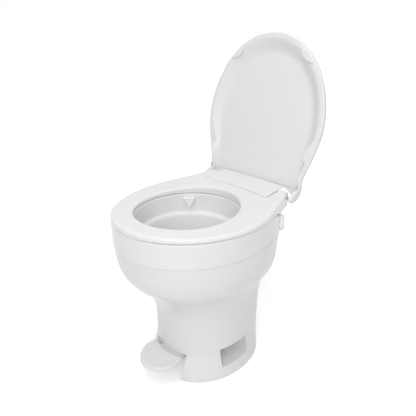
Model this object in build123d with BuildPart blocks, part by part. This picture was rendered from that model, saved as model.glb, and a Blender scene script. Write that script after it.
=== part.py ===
from build123d import *
import os
from math import acos, asin, atan2, cos, degrees, hypot, pi, radians, sin, tan

# Toilet with a raised seat, a lift-up lid, a foot pedal and a part-ball waste valve.
# Millimetres, Z up. The front faces -Y. The drain's axis is X = 0, Y = 0 and the floor is Z = 0.
os.makedirs("parts", exist_ok=True)

# Driving sizes
seat_height = 441.2
body_height = 367.6
body_half_width = 187.5
body_front = 224.0
body_rear = 195.0
seat_half_width = 189.5
seat_front = 226.7
lid_half_width = 189.4
floor_bolt_spacing = 152.0
drain_radius = 38.0
inlet_radius = 10.4

# Fits
running = 0.05
loose = 0.3
lever_clearance = 0.6
shell = 4.0
half_turn = 180

# Plan outlines
hull_centre = -12.0
front_square = 2.06
rear_square = 2.2
outline_steps = 24
waist_steps = 11
flank_drop = 5.2
flank_length = 147.0
flank_power = 6
crease_share = 0.185
# One row for each level: height, half-width, front reach and rear reach.
foot_shares = [
    (0.0, 0.7253, 0.6518, 0.7897),
    (crease_share, 0.6560, 0.5536, 0.8359),
]
waist_shares = [
    (crease_share, 0.6560, 0.5536, 0.8359),
    (0.330, 0.6510, 0.5490, 0.8600),
    (0.450, 0.6510, 0.5620, 0.8790),
    (0.5386, 0.6720, 0.6049, 0.9026),
    (0.6012, 0.7147, 0.6652, 0.9231),
    (0.6638, 0.7787, 0.7384, 0.9436),
    (0.7345, 0.8827, 0.8585, 0.9538),
    (0.7916, 0.9440, 0.9254, 0.9615),
    (0.8705, 0.9840, 0.9732, 0.9692),
    (1.0, 1.0, 1.0, 1.0),
]

# Rim band, deck and inner bowl
band_half_width = 188.35
band_front = 225.55
band_rear = 195.85
band_wall = 9.0
rim_top = 426.9
deck_wall = 4.0
deck_bolt_depth = 8.0
ledge_wall_gap = 2.0
band_edge = 2.5
opening_half_width = 121.0
opening_half_length = 128.0
opening_centre = -44.0
ledge_height = 372.0
ledge_half_width = 111.0
ledge_half_length = 118.0
ledge_drop = 10.0
throat_radius = 36.0
throat_bottom = 188.0
skirt_inset = 6.2
skirt_inner_inset = 8.4
skirt_bottom = 359.0
skirt_overlap = 3.0
boss_radius = 66.0
boss_top = 200.0
# One row for each level: height, radius across, radius along and centre, from the ledge down to the throat.
funnel_shares = [
    (1.0, 1.0, 1.0, 1.0),
    (0.770, 0.930, 0.910, 0.960),
    (0.500, 0.745, 0.720, 0.780),
    (0.255, 0.520, 0.490, 0.400),
    (0.092, 0.365, 0.345, 0.090),
]

# Recesses that the seat's ears and the lifted lid swing through
ear_recess_side = 107.5
ear_recess_front = 96.0
ear_recess_floor = 418.0
tail_start = 168.0
tail_height = 402.0
tail_slope = 0.3
recess_reach = 260.0

# Bolt niches and pedal notch
niche_half_length = 45.4
niche_bottom = 29.8
niche_top = 82.4
niche_inner = 61.0
niche_wall = 3.0
niche_shelf = 6.0
niche_corner = 6.0
bolt_slot_margin = 24.0
niche_reach = 150.0
floor_bolt_radius = 5.5
notch_half_width = 57.8
notch_height = 68.0
notch_corner = 8.0
notch_inner = -95.0
notch_outer = -170.0

# Water inlet
inlet_x = -66.0
inlet_height = 120.0
inlet_boss_radius = 18.0
inlet_boss_start = 128.0
inlet_face = 152.0
inlet_hole_radius = 12.0
inlet_flange_radius = 16.5
inlet_flange = 5.0
inlet_thread_length = 16.0
inlet_tail_start = 116.0
barb_radius = 4.0
barb_bore = 2.4
barb_length = 14.0

# Seat
seat_bottom = 428.4
seat_top_front = 442.6
seat_top_dip = 28.48
seat_top_rise = 49.48
seat_top_length = 430.0
seat_top_start = -237.0
seat_hole_half_width = 122.5
seat_hole_half_length = 129.6
seat_hole_centre = -44.1
seat_flank_x = 177.7
seat_flank_y = 54.8
seat_flank_radius = 195.0
ear_x = 135.2
ear_y = 171.3
ear_corner = 8.0
ear_inner = 109.5
ear_bottom = 422.0
ear_front = 100.0
seat_edge = 6.0
seat_blank_top = 470.0
seat_cut_top = 940.0
seat_cut_side = 113.5
seat_cut_middle = 122.0

# Seat and lid hinge
hinge_y = 162.0
hinge_z = 444.5
pin_radius = 4.0
pin_start = 78.0
pin_end = 155.0
lug_bore_end = 155.5
block_inner = 70.0
block_outer = 105.0
block_front = 132.0
block_rear = 168.0
block_base = 436.0
barrel_radius = 10.0
lug_inner = 147.0
lug_outer = 157.0
lug_radius = 10.0
hinge_bolt_x = 87.0
hinge_bolt_y = 141.0
hinge_bolt_radius = 3.0
hinge_bolt_hole = 3.3
hinge_bolt_head = 5.5
hinge_bolt_head_height = 4.0
hinge_bolt_end = 407.0
washer_radius = 8.0
washer = 1.5
nut_across = 5.6
nut_height = 5.0

# Hinge cover
cover_front_half = 107.1
cover_rear_half = 108.2
cover_front_y = 115.5
cover_front_z = 450.5
cover_length = 59.07
cover_front_bow = 8.5
cover_rear_bow = 9.0
cover_rise = 10.1
cover_run = 58.2
cover_thickness = 3.0
post_x = 75.0
post_y = 139.0
post_size = 7.0

# Lid, in its own frame: along runs from the hinge to the tip, behind runs away from the bowl
lid_lean = 11.59
rim_plane = 11.7
lid_depth = 20.0
lid_back_round = 13.0
lid_centre = 174.2
lid_reach = 215.4
lid_flank = [(177.1, 107.6), (160.9, 53.5), (157.0, 20.2)]
lid_recess = 16.3
recess_half_width = 147.0
recess_reach_up = 170.5
recess_rim_flank = [(166.1, 107.6), (150.5, 53.5), (147.0, 19.0)]
recess_floor_flank = [(146.8, 107.6), (146.5, 53.5), (146.0, 19.0)]
lid_rim = 11.0
lid_flank_lean = 0.07
arm_corners = [(34.0, 11.7), (21.0, 11.7), (6.0, -8.0), (-6.0, 8.0), (10.0, 26.0), (34.0, 28.0)]
pad_height = 1.6
# Each pad on the rim: one end, the bulge inwards, the other end and the bulge outwards.
pad_arcs = [
    ((87.0, 357.0), (103.5, 331.0), (131.0, 320.0), (114.0, 343.0)),
    ((162.0, 89.0), (152.0, 113.0), (176.0, 151.0), (172.0, 118.0)),
]

# Seat bumpers
bumper_radius = 7.0
bumper_recess = 3.0
bumper_gap = 0.3
bumper_places = [(153.0, -60.0), (-153.0, -60.0), (60.0, -188.0), (-60.0, -188.0)]

# Pedal
pivot_y = -87.0
pivot_z = 72.9
pedal_half_width = 56.0
pedal_ear_half_width = 53.4
pedal_ear_y = -121.0
pedal_wide_y = -145.0
pedal_tip_y = -200.0
pedal_rear_y = -131.0
pedal_bottom = 49.0
pedal_rear_top = 65.0
pedal_front_top = 57.0
pedal_blank_top = 80.0
pedal_rim = 13.0
pedal_dish = 2.5
pedal_wall = 3.0
pedal_ceiling = 6.5
pedal_edge = 2.0
pedal_screw_x = 44.0
pedal_screw_y = -139.0
pedal_screw_radius = 1.5
pedal_screw_head = 3.0
pedal_screw_length = 3.0
lever_hub_radius = 9.0
lever_half_length = 72.0
lever_arm_inner = 39.0
lever_arm_outer = 47.5
lever_plate = 4.0
lever_arm_outline = [
    (-87.0, 66.0),
    (-87.0, 79.0),
    (-112.0, 60.0),
    (-119.0, 57.5),
    (-131.0, 56.8),
    (-131.0, 53.5),
    (-112.0, 52.0),
    (-95.0, 60.0),
]
lever_plate_front = -149.0
lever_plate_rear = -128.0
lever_lift = 24.5
nose_radius = 4.0
nose_rise = 3.0
nose_start = -72.0
nose_end = -60.0
shaft_radius = 4.0
shaft_left = -88.0
shaft_right = 84.0
shaft_boss_radius = 9.0
left_boss_face = -85.0
right_boss_face = 76.0
shaft_boss_reach = 100.0
collar_radius = 7.5
collar_length = 2.6
coil_wire = 0.9
coil_radius = 5.2
coil_start = -76.9
coil_length = 3.8
coil_pitch = 1.9

# Gears
gear_module = 2.5
pinion_teeth = 15
sector_teeth = 78
pressure_angle = 25.0
gear_backlash = 0.25
addendum_modules = 1.0
dedendum_modules = 1.25
flank_steps = 5
gear_start = 64.0
gear_end = 72.0
sector_rim_radius = 84.0
sector_first = -5
sector_last = 1
sector_arm_low = 25.0
sector_arm_high = 45.0
sector_hub_radius = 10.4

# Waste valve
ball_height = 150.0
ball_radius = 48.0
ball_wall = 4.0
ball_cap_height = 179.5
ball_arm_half_width = 13.0
trunnion_radius = 10.0
trunnion_inner = 38.0
trunnion_outer = 47.0
stub_radius = 6.0
stub_inner = 40.0
stub_drive_end = 78.0
stub_idle_end = -66.0
clip_start = 74.0
clip_radius = 9.0
clip_thickness = 1.5
bush_radius = 9.0
bush_inner = 52.5
bush_end = 62.0
bush_flange_radius = 11.0
bush_flange = 1.5
chamber_radius = 52.0
chamber_outer = 56.0
chamber_bottom = 100.0
chamber_top = 178.0
tube_top = 84.0
lip_radius = 45.5
seal_inner = 36.0
seal_outer = 47.0
seal_bottom = 182.2
flange_bottom = 180.0
foot_flange_radius = 56.0
foot_flange_bottom = 8.0
foot_flange = 4.0
bearing_boss_radius = 13.0
housing_screw_radius = 2.0
housing_screw_circle = 61.0
housing_screw_head = 4.5
housing_screw_head_height = 3.0
housing_screw_end = 197.0
housing_screw_count = 4

# Water valve and hoses
valve_x = -66.0
valve_y = -62.5
valve_radius = 13.0
valve_bottom = 104.0
valve_top = 136.0
plunger_radius = 5.0
plunger_disc_radius = 7.0
plunger_disc = 2.3
plunger_gap = 0.3
plunger_end = 114.0
plunger_bore_end = 123.0
valve_bore_radius = 5.05
bracket_half_width = 6.0
bracket_bottom = 108.0
bracket_top = 120.0
hose_radius = 6.5
hose_bore = 4.0
hose_start = 2.0
valve_route_middle = [
    (-66.0, -62.5, 172.0),
    (-97.0, 20.0, 190.0),
    (-60.0, 115.0, 225.0),
    (60.0, 125.0, 262.0),
]
valve_route_turn = 310.0
valve_route_radii = [16.0, 30.0, 40.0, 40.0, 24.0]
nozzle_route_middle = [(-70.0, 128.0, 325.0), (60.0, 132.0, 325.0)]
nozzle_route_fall = 345.0
nozzle_route_turn = 335.0
nozzle_route_radii = [20.0, 34.0, 30.0, 14.0]
hose_overlap = 12.0

# Vacuum breaker
breaker_x = 140.0
breaker_y = 135.0
breaker_z = 388.0
breaker_turn = 40.5
breaker_cap_radius = 20.0
breaker_cap_height = 11.5
breaker_cap_round = 8.0
breaker_seat_depth = 1.6
breaker_neck_radius = 12.0
breaker_neck_clearance = 0.1
breaker_body_radius = 14.0
breaker_body_start = 14.0
breaker_body_end = 58.0
breaker_port_depths = [26.0, 46.0]
breaker_port_bottom = 352.0

# Flush nozzle
nozzle_turn = 137.8
nozzle_reach = 121.9
nozzle_plate = 8.0
nozzle_top = 419.0
nozzle_tip = 387.0
nozzle_half_width = 17.5
nozzle_corner = 3.0
nozzle_pipe_radius = 5.0
nozzle_pipe_length = 20.0
nozzle_pipe_height = 405.0
nozzle_drop_depth = 18.0
nozzle_drop_bottom = 366.0

# Floor seal
floor_seal_inner = 42.3
floor_seal_outer = 56.0


def hull_points(half_width, front, rear, centre, drop, inset):
    """Points of one plan outline: two half superellipses with slightly flattened rear flanks."""
    points = []
    for step in range(outline_steps):
        angle = 2 * pi * step / outline_steps
        across = cos(angle)
        along = sin(angle)
        square = rear_square if along > 0 else front_square
        reach = rear - centre if along > 0 else front + centre
        x = (half_width - inset) * abs(across) ** (2 / square)
        rise = (reach - inset) * abs(along) ** (2 / square)
        if along > 0 and rise < flank_length:
            x -= drop * sin(pi * rise / flank_length) ** 2
        points.append((x if across > 0 else -x, centre + rise if along > 0 else centre - rise))
    return points


def level_row(level):
    """One row of shares at any level of the waist, by a cubic that never overshoots its rows."""
    levels = [row[0] for row in waist_shares]
    index = max(place for place in range(len(levels) - 1) if levels[place] <= level or place == 0)
    gaps = [high - low for low, high in zip(levels, levels[1:])]
    part = (level - levels[index]) / gaps[index]
    row = [level]
    for column in (1, 2, 3):
        values = [shares[column] for shares in waist_shares]
        slopes = [(high - low) / gap for low, high, gap in zip(values, values[1:], gaps)]
        bends = [slopes[0]]
        for before, after, gap_before, gap_after in zip(slopes, slopes[1:], gaps, gaps[1:]):
            if before * after <= 0:
                bends.append(0)
            else:
                weight_before = (2 * gap_after + gap_before) / before
                weight_after = (gap_after + 2 * gap_before) / after
                bends.append(3 * (gap_before + gap_after) / (weight_before + weight_after))
        bends.append(slopes[-1])
        row.append(
            (2 * part**3 - 3 * part**2 + 1) * values[index]
            + (part**3 - 2 * part**2 + part) * gaps[index] * bends[index]
            + (3 * part**2 - 2 * part**3) * values[index + 1]
            + (part**3 - part**2) * gaps[index] * bends[index + 1]
        )
    return row


def body_points(row, inset):
    """Plan outline of the body at one row of shares."""
    level, wide, ahead, behind = row
    return hull_points(
        body_half_width * wide,
        body_front * ahead,
        body_rear * behind,
        hull_centre * level,
        flank_drop * level**flank_power,
        inset,
    )


def body_solid(inset):
    """The body's closed shape, drawn in by an inset."""
    with BuildPart() as body:
        waist_rows = [
            level_row(crease_share + (1 - crease_share) * step / (waist_steps - 1))
            for step in range(waist_steps)
        ]
        for rows in (foot_shares, waist_rows):
            for row in rows:
                with BuildSketch(Plane.XY.offset(body_height * row[0])):
                    with BuildLine():
                        Spline(*body_points(row, inset), periodic=True)
                    make_face()
            loft()
    return body.part


def band_solid(bottom, top, inset):
    """The rim band's outline as a solid between two heights."""
    with BuildPart() as band:
        with BuildSketch(Plane.XY.offset(bottom)):
            with BuildLine():
                Spline(
                    *hull_points(band_half_width, band_front, band_rear, hull_centre, flank_drop, inset),
                    periodic=True,
                )
            make_face()
        extrude(amount=top - bottom)
    return band.part


def tail_solid(grow, near):
    """Everything above the rear slope, which the lifted lid swings through."""
    with BuildPart() as tail:
        with BuildSketch(Plane.YZ):
            with BuildLine():
                Polyline(
                    (near - grow, seat_blank_top),
                    (near - grow, tail_height - grow),
                    (recess_reach, tail_height - grow - tail_slope * (recess_reach - near)),
                    (recess_reach, seat_blank_top),
                    close=True,
                )
            make_face()
        extrude(amount=recess_reach, both=True)
    return tail.part


def ear_recess_solid(grow):
    """The space of both ears above the deck's lowered corners."""
    with BuildPart() as recess:
        for side in (1, -1):
            with BuildSketch(Plane.XY.offset(ear_recess_floor - grow)):
                x_inner = ear_recess_side - grow
                y_front = ear_recess_front - grow
                with Locations((side * (x_inner + recess_reach) / 2, (y_front + recess_reach) / 2)):
                    Rectangle(recess_reach - x_inner, recess_reach - y_front)
            extrude(amount=seat_blank_top - ear_recess_floor + grow)
    return recess.part


def funnel_solid(grow):
    """The bowl's funnel from the ledge to the throat, grown by a wall."""
    with BuildPart() as funnel:
        for level, across, along, shift in funnel_shares:
            with BuildSketch(Plane.XY.offset(throat_bottom + level * (ledge_height - throat_bottom))):
                with Locations((0, opening_centre * shift)):
                    Ellipse(ledge_half_width * across + grow, ledge_half_length * along + grow)
        loft()
        with BuildSketch(Plane.XY.offset(throat_bottom)):
            Circle(throat_radius + grow)
        level, width, length, centre = funnel_shares[-1]
        with BuildSketch(Plane.XY.offset(throat_bottom + level * (ledge_height - throat_bottom))):
            with Locations((0, opening_centre * centre)):
                Ellipse(ledge_half_width * width + grow, ledge_half_length * length + grow)
        loft()
    return funnel.part


def rod_x(y, z, radius, start, end):
    """A round rod along X."""
    with BuildPart() as rod:
        with BuildSketch(Plane.YZ.offset(start)):
            with Locations((y, z)):
                Circle(radius)
        extrude(amount=end - start)
    return rod.part


def rod_y(x, z, radius, start, end):
    """A round rod along Y."""
    with BuildPart() as rod:
        with BuildSketch(Plane.XZ.offset(-start)):
            with Locations((x, z)):
                Circle(radius)
        extrude(amount=start - end)
    return rod.part


def rod_z(x, y, radius, bottom, top):
    """A round rod along Z."""
    with BuildPart() as rod:
        with BuildSketch(Plane.XY.offset(bottom)):
            with Locations((x, y)):
                Circle(radius)
        extrude(amount=top - bottom)
    return rod.part


def block_between(low, high):
    """A box given by its lowest and highest corner."""
    with BuildPart() as block:
        with Locations(tuple((a + b) / 2 for a, b in zip(low, high))):
            Box(*[b - a for a, b in zip(low, high)])
    return block.part


def turned_plane(x, y, z, turn):
    """An upright plane whose normal points outwards at a turn about Z from +X."""
    across = radians(turn)
    return Plane(origin=(x, y, z), x_dir=(-sin(across), cos(across), 0), z_dir=(cos(across), sin(across), 0))


def involute(angle):
    """The involute function of a pressure angle."""
    return tan(angle) - angle


def gear_points(teeth, first, last, phase):
    """Outline points of the teeth from first to last about the gear's own centre."""
    pitch_radius = gear_module * teeth / 2
    base_radius = pitch_radius * cos(radians(pressure_angle))
    tip_radius = pitch_radius + gear_module * addendum_modules
    root_radius = pitch_radius - gear_module * dedendum_modules
    half_tooth = pi / (2 * teeth) - gear_backlash / (2 * pitch_radius)
    low_radius = max(base_radius, root_radius)
    points = []
    for index in range(first, last + 1):
        middle = phase + 2 * pi * index / teeth
        flank = []
        for step in range(flank_steps):
            radius = low_radius + (tip_radius - low_radius) * step / (flank_steps - 1)
            turned = involute(acos(min(1, base_radius / radius)))
            spread = half_tooth + involute(radians(pressure_angle)) - turned
            flank.append((radius, spread))
        if low_radius > root_radius:
            flank.insert(0, (root_radius, flank[0][1]))
        for radius, spread in flank:
            points.append((radius * cos(middle - spread), radius * sin(middle - spread)))
        for radius, spread in reversed(flank):
            points.append((radius * cos(middle + spread), radius * sin(middle + spread)))
    return points


# Pedestal: the body less its hollow, which leaves the niche boxes and the shaft bosses standing
with BuildPart() as body_hollow:
    add(body_solid(shell))
    for side in (1, -1):
        low, high = sorted((side * (niche_inner - niche_wall), side * niche_reach))
        add(
            block_between(
                (low, -niche_half_length - niche_wall, 0),
                (high, niche_half_length + niche_wall, niche_top + niche_wall),
            ),
            mode=Mode.SUBTRACT,
        )
    add(rod_x(pivot_y, pivot_z, shaft_boss_radius, right_boss_face, shaft_boss_reach), mode=Mode.SUBTRACT)
    add(rod_x(pivot_y, pivot_z, shaft_boss_radius, -shaft_boss_reach, left_boss_face), mode=Mode.SUBTRACT)

with BuildPart() as pedestal:
    add(body_solid(0))
    add(body_hollow.part, mode=Mode.SUBTRACT)
    add(rod_y(inlet_x, inlet_height, inlet_boss_radius, inlet_boss_start, inlet_face))
    for side in (1, -1):
        with BuildSketch(Plane.YZ.offset(side * niche_inner)):
            with Locations((0, (niche_bottom + niche_top) / 2)):
                RectangleRounded(2 * niche_half_length, niche_top - niche_bottom, niche_corner)
        extrude(amount=side * (niche_reach - niche_inner), mode=Mode.SUBTRACT)
        with BuildSketch(Plane.YZ.offset(side * niche_inner)):
            with Locations((0, (niche_bottom - niche_shelf) / 2)):
                Rectangle(2 * niche_half_length, niche_bottom - niche_shelf)
        extrude(amount=side * (floor_bolt_spacing / 2 + bolt_slot_margin - niche_inner), mode=Mode.SUBTRACT)
        add(
            rod_z(side * floor_bolt_spacing / 2, 0, floor_bolt_radius, 0, niche_top - niche_corner),
            mode=Mode.SUBTRACT,
        )
    with BuildSketch(Plane.XZ.offset(-notch_inner)):
        with Locations((0, 0)):
            RectangleRounded(2 * notch_half_width, 2 * notch_height, notch_corner)
    extrude(amount=notch_inner - notch_outer, mode=Mode.SUBTRACT)
    add(rod_x(pivot_y, pivot_z, shaft_radius, shaft_left, shaft_right), mode=Mode.SUBTRACT)
    add(rod_y(inlet_x, inlet_height, inlet_hole_radius, inlet_boss_start, inlet_face), mode=Mode.SUBTRACT)
    add(
        rod_y(
            inlet_x, inlet_height, inlet_flange_radius + loose, inlet_face, inlet_face + inlet_thread_length
        ),
        mode=Mode.SUBTRACT,
    )
pedestal.part.label = "pedestal"

# Bowl
cavity = band_solid(body_height - skirt_overlap, rim_top - deck_wall, band_wall)
with BuildPart() as band_cavity:
    add(cavity)
    add(ear_recess_solid(deck_wall), mode=Mode.SUBTRACT)
    add(tail_solid(deck_wall, tail_start), mode=Mode.SUBTRACT)

top_row = waist_shares[-1]
breaker_plane = turned_plane(breaker_x, breaker_y, breaker_z, breaker_turn)
breaker_out = (cos(radians(breaker_turn)), sin(radians(breaker_turn)))
nozzle_out = (cos(radians(nozzle_turn)), sin(radians(nozzle_turn)))
nozzle_x = nozzle_reach * nozzle_out[0]
nozzle_y = opening_centre + nozzle_reach * nozzle_out[1]

with BuildPart() as bowl:
    add(band_solid(body_height, rim_top, 0))
    top_edges = bowl.faces().sort_by(Axis.Z)[-1].edges()
    bottom_edges = bowl.faces().sort_by(Axis.Z)[0].edges()
    fillet([*top_edges, *bottom_edges], band_edge)
    add(band_cavity.part, mode=Mode.SUBTRACT)
    with BuildSketch(Plane.XY.offset(skirt_bottom)):
        with BuildLine():
            Spline(*body_points(top_row, skirt_inset), periodic=True)
        make_face()
        with BuildLine():
            Spline(*body_points(top_row, skirt_inner_inset), periodic=True)
        make_face(mode=Mode.SUBTRACT)
    extrude(amount=body_height - skirt_bottom + skirt_overlap)
    add(ear_recess_solid(0), mode=Mode.SUBTRACT)
    add(tail_solid(0, tail_start), mode=Mode.SUBTRACT)
    with BuildSketch(Plane.XY.offset(ledge_height - ledge_drop)):
        with Locations((0, opening_centre)):
            Ellipse(opening_half_width + shell, opening_half_length + shell)
    extrude(amount=rim_top - ledge_height + ledge_drop - ledge_wall_gap)
    add(funnel_solid(shell))
    with BuildSketch(Plane.XY.offset(throat_bottom)):
        Circle(boss_radius)
    extrude(amount=boss_top - throat_bottom)
    with BuildSketch(Plane.XY.offset(ledge_height)):
        with Locations((0, opening_centre)):
            Ellipse(opening_half_width, opening_half_length)
    extrude(amount=seat_blank_top - ledge_height, mode=Mode.SUBTRACT)
    add(funnel_solid(0), mode=Mode.SUBTRACT)
    for side in (1, -1):
        add(
            rod_z(
                side * hinge_bolt_x,
                hinge_bolt_y,
                hinge_bolt_hole,
                rim_top - deck_bolt_depth,
                rim_top + deck_wall,
            ),
            mode=Mode.SUBTRACT,
        )
    for index in range(housing_screw_count):
        angle = 2 * pi * (index + 1 / 2) / housing_screw_count
        place = (housing_screw_circle * cos(angle), housing_screw_circle * sin(angle))
        add(rod_z(*place, housing_screw_radius, throat_bottom, housing_screw_end), mode=Mode.SUBTRACT)
    with BuildSketch(breaker_plane.offset(-breaker_seat_depth)):
        Circle(breaker_cap_radius + loose)
    extrude(amount=breaker_cap_radius, mode=Mode.SUBTRACT)
    with BuildSketch(breaker_plane.offset(-breaker_body_start)):
        Circle(breaker_neck_radius + breaker_neck_clearance)
    extrude(amount=breaker_cap_radius, mode=Mode.SUBTRACT)
    nozzle_plane = turned_plane(nozzle_x, nozzle_y, nozzle_pipe_height, nozzle_turn)
    with BuildSketch(nozzle_plane.offset(-nozzle_plate)):
        Circle(nozzle_pipe_radius + breaker_neck_clearance)
    extrude(amount=nozzle_plate + nozzle_pipe_length, mode=Mode.SUBTRACT)
bowl.part.label = "bowl"


# Waste valve housing with its bearing bosses
with BuildPart() as valve_housing:
    with BuildSketch(Plane.XZ):
        with BuildLine():
            Polyline(
                (drain_radius, 0),
                (drain_radius + shell, 0),
                (drain_radius + shell, foot_flange_bottom),
                (foot_flange_radius, foot_flange_bottom),
                (foot_flange_radius, foot_flange_bottom + foot_flange),
                (drain_radius + shell, foot_flange_bottom + foot_flange),
                (drain_radius + shell, tube_top),
                (chamber_outer, chamber_bottom),
                (chamber_outer, flange_bottom),
                (boss_radius, flange_bottom),
                (boss_radius, throat_bottom),
                (seal_outer + loose, throat_bottom),
                (seal_outer + loose, seal_bottom),
                (lip_radius, seal_bottom),
                (lip_radius, chamber_top),
                (chamber_radius, chamber_top),
                (chamber_radius, chamber_bottom),
                (drain_radius, tube_top),
                close=True,
            )
        make_face()
    revolve(axis=Axis.Z)
    for start, end in ((bush_inner, bush_end), (-bush_end, -bush_inner)):
        add(rod_x(0, ball_height, bearing_boss_radius, start, end))
        add(rod_x(0, ball_height, bush_radius, start, end), mode=Mode.SUBTRACT)
    for start, end in ((trunnion_outer, bush_inner), (-bush_inner, -trunnion_outer)):
        add(rod_x(0, ball_height, bush_radius, start, end), mode=Mode.SUBTRACT)
    for index in range(housing_screw_count):
        angle = 2 * pi * (index + 1 / 2) / housing_screw_count
        place = (housing_screw_circle * cos(angle), housing_screw_circle * sin(angle))
        add(rod_z(*place, housing_screw_radius, flange_bottom, throat_bottom), mode=Mode.SUBTRACT)
valve_housing.part.label = "valve_housing"

with BuildPart() as housing_screws:
    for index in range(housing_screw_count):
        angle = 2 * pi * (index + 1 / 2) / housing_screw_count
        place = (housing_screw_circle * cos(angle), housing_screw_circle * sin(angle))
        add(rod_z(*place, housing_screw_radius, flange_bottom, housing_screw_end))
        add(rod_z(*place, housing_screw_head, flange_bottom - housing_screw_head_height, flange_bottom))
housing_screws.part.label = "housing_screws"

with BuildPart() as ball_seal:
    with BuildSketch(Plane.XY.offset(seal_bottom)):
        Circle(seal_outer)
        Circle(seal_inner, mode=Mode.SUBTRACT)
    extrude(amount=throat_bottom - seal_bottom)
ball_seal.part.label = "ball_seal"

with BuildPart() as floor_seal:
    with BuildSketch(Plane.XY):
        Circle(floor_seal_outer)
        Circle(floor_seal_inner, mode=Mode.SUBTRACT)
    extrude(amount=foot_flange_bottom)
floor_seal.part.label = "floor_seal"


def bush(side):
    """A flanged bush of the ball's stub shaft."""
    with BuildPart() as part:
        for start, end, radius in (
            (bush_inner, bush_end, bush_radius),
            (bush_end, bush_end + bush_flange, bush_flange_radius),
        ):
            low, high = sorted((side * start, side * end))
            add(rod_x(0, ball_height, radius, low, high))
        add(rod_x(0, ball_height, stub_radius + running, -pin_end, pin_end), mode=Mode.SUBTRACT)
    return part


bush_right = bush(1)
bush_right.part.label = "bush_right"
bush_left = bush(-1)
bush_left.part.label = "bush_left"

# Part-ball valve blade and its stub shafts
with BuildPart() as ball_keep:
    for half_width, bottom in ((ball_radius, ball_cap_height), (ball_arm_half_width, ball_height)):
        add(block_between((-ball_radius, -half_width, bottom), (ball_radius, half_width, seat_height)))

with BuildPart() as waste_ball:
    with Locations((0, 0, ball_height)):
        Sphere(ball_radius)
        Sphere(ball_radius - ball_wall, mode=Mode.SUBTRACT)
    add(ball_keep.part, mode=Mode.INTERSECT)
    add(rod_x(0, ball_height, trunnion_radius, trunnion_inner, trunnion_outer))
    add(rod_x(0, ball_height, trunnion_radius, -trunnion_outer, -trunnion_inner))
    add(rod_x(0, ball_height, stub_radius, stub_inner, ball_radius + ball_wall), mode=Mode.SUBTRACT)
    add(rod_x(0, ball_height, stub_radius, -ball_radius - ball_wall, -stub_inner), mode=Mode.SUBTRACT)
waste_ball.part.label = "waste_ball"

with BuildPart() as drive_stub:
    add(rod_x(0, ball_height, stub_radius, stub_inner, stub_drive_end))
drive_stub.part.label = "drive_stub"

with BuildPart() as idle_stub:
    add(rod_x(0, ball_height, stub_radius, stub_idle_end, -stub_inner))
idle_stub.part.label = "idle_stub"

with BuildPart() as stub_clip:
    add(rod_x(0, ball_height, clip_radius, clip_start, clip_start + clip_thickness))
    add(rod_x(0, ball_height, stub_radius, stub_inner, stub_drive_end), mode=Mode.SUBTRACT)
stub_clip.part.label = "stub_clip"

# Gears: the pinion's gaps and a sector tooth meet on the line between their centres
mesh_angle = atan2(ball_height - pivot_z, -pivot_y)
pinion_phase = mesh_angle + pi + pi / pinion_teeth
with BuildPart() as pinion:
    with BuildSketch(Plane.YZ.offset(gear_start)):
        with BuildLine():
            teeth = [
                (y, ball_height + z)
                for y, z in gear_points(pinion_teeth, 0, pinion_teeth - 1, pinion_phase)
            ]
            Polyline(*teeth, close=True)
        make_face()
    extrude(amount=gear_end - gear_start)
    add(rod_x(0, ball_height, stub_radius, stub_inner, stub_drive_end), mode=Mode.SUBTRACT)
pinion.part.label = "pinion"


def sector_point(radius, angle):
    """A point of the sector gear by radius and angle about the pedal's pivot."""
    return (pivot_y + radius * cos(angle), pivot_z + radius * sin(angle))


tooth_step = 2 * pi / sector_teeth
sector_low = mesh_angle + (sector_first - 1 / 2) * tooth_step
sector_high = mesh_angle + (sector_last + 1 / 2) * tooth_step
arm_low = radians(sector_arm_low)
arm_high = radians(sector_arm_high)
with BuildPart() as sector_gear:
    with BuildSketch(Plane.YZ.offset(gear_start)):
        with BuildLine():
            teeth = [
                (pivot_y + y, pivot_z + z)
                for y, z in gear_points(sector_teeth, sector_first, sector_last, mesh_angle)
            ]
            Polyline(
                sector_point(sector_rim_radius, sector_low),
                *teeth,
                sector_point(sector_rim_radius, sector_high),
            )
            ThreePointArc(
                sector_point(sector_rim_radius, sector_high),
                sector_point(sector_rim_radius, (sector_low + sector_high) / 2),
                sector_point(sector_rim_radius, sector_low),
            )
        make_face()
        with BuildLine():
            Polyline(
                sector_point(sector_hub_radius, arm_low - pi / 4),
                sector_point(sector_rim_radius + gear_module, arm_low),
                sector_point(sector_rim_radius + gear_module, arm_high),
                sector_point(sector_hub_radius, arm_high + pi / 4),
                close=True,
            )
        make_face()
        with Locations((pivot_y, pivot_z)):
            Circle(sector_hub_radius)
            Circle(lever_hub_radius, mode=Mode.SUBTRACT)
    extrude(amount=gear_end - gear_start)
sector_gear.part.label = "sector_gear"

# Pedal and its lever, whose plate lies on the slope of the pedal's ceiling
pedal_slope = (pedal_rear_top - pedal_front_top) / (pedal_ear_y - pedal_tip_y)
slope_length = hypot(1, pedal_slope)
pedal_top_plane = Plane(
    origin=(0, pedal_ear_y, pedal_rear_top),
    x_dir=(1, 0, 0),
    z_dir=(0, -pedal_slope / slope_length, 1 / slope_length),
)


def pedal_outline(inset):
    """The D outline of the pedal as one face on the floor plane."""
    with BuildSketch() as outline:
        with BuildLine():
            wide = pedal_half_width - inset
            ear = pedal_ear_half_width - inset
            ThreePointArc(
                (ear, pedal_ear_y - inset), (0, pedal_rear_y - inset), (-ear, pedal_ear_y - inset)
            )
            Line((ear, pedal_ear_y - inset), (wide, pedal_wide_y))
            Line((-ear, pedal_ear_y - inset), (-wide, pedal_wide_y))
            reach = pedal_wide_y - pedal_tip_y - inset
            EllipticalCenterArc((0, pedal_wide_y), wide, reach, half_turn, arc_size=half_turn)
        make_face()
    return outline.sketch


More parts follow.
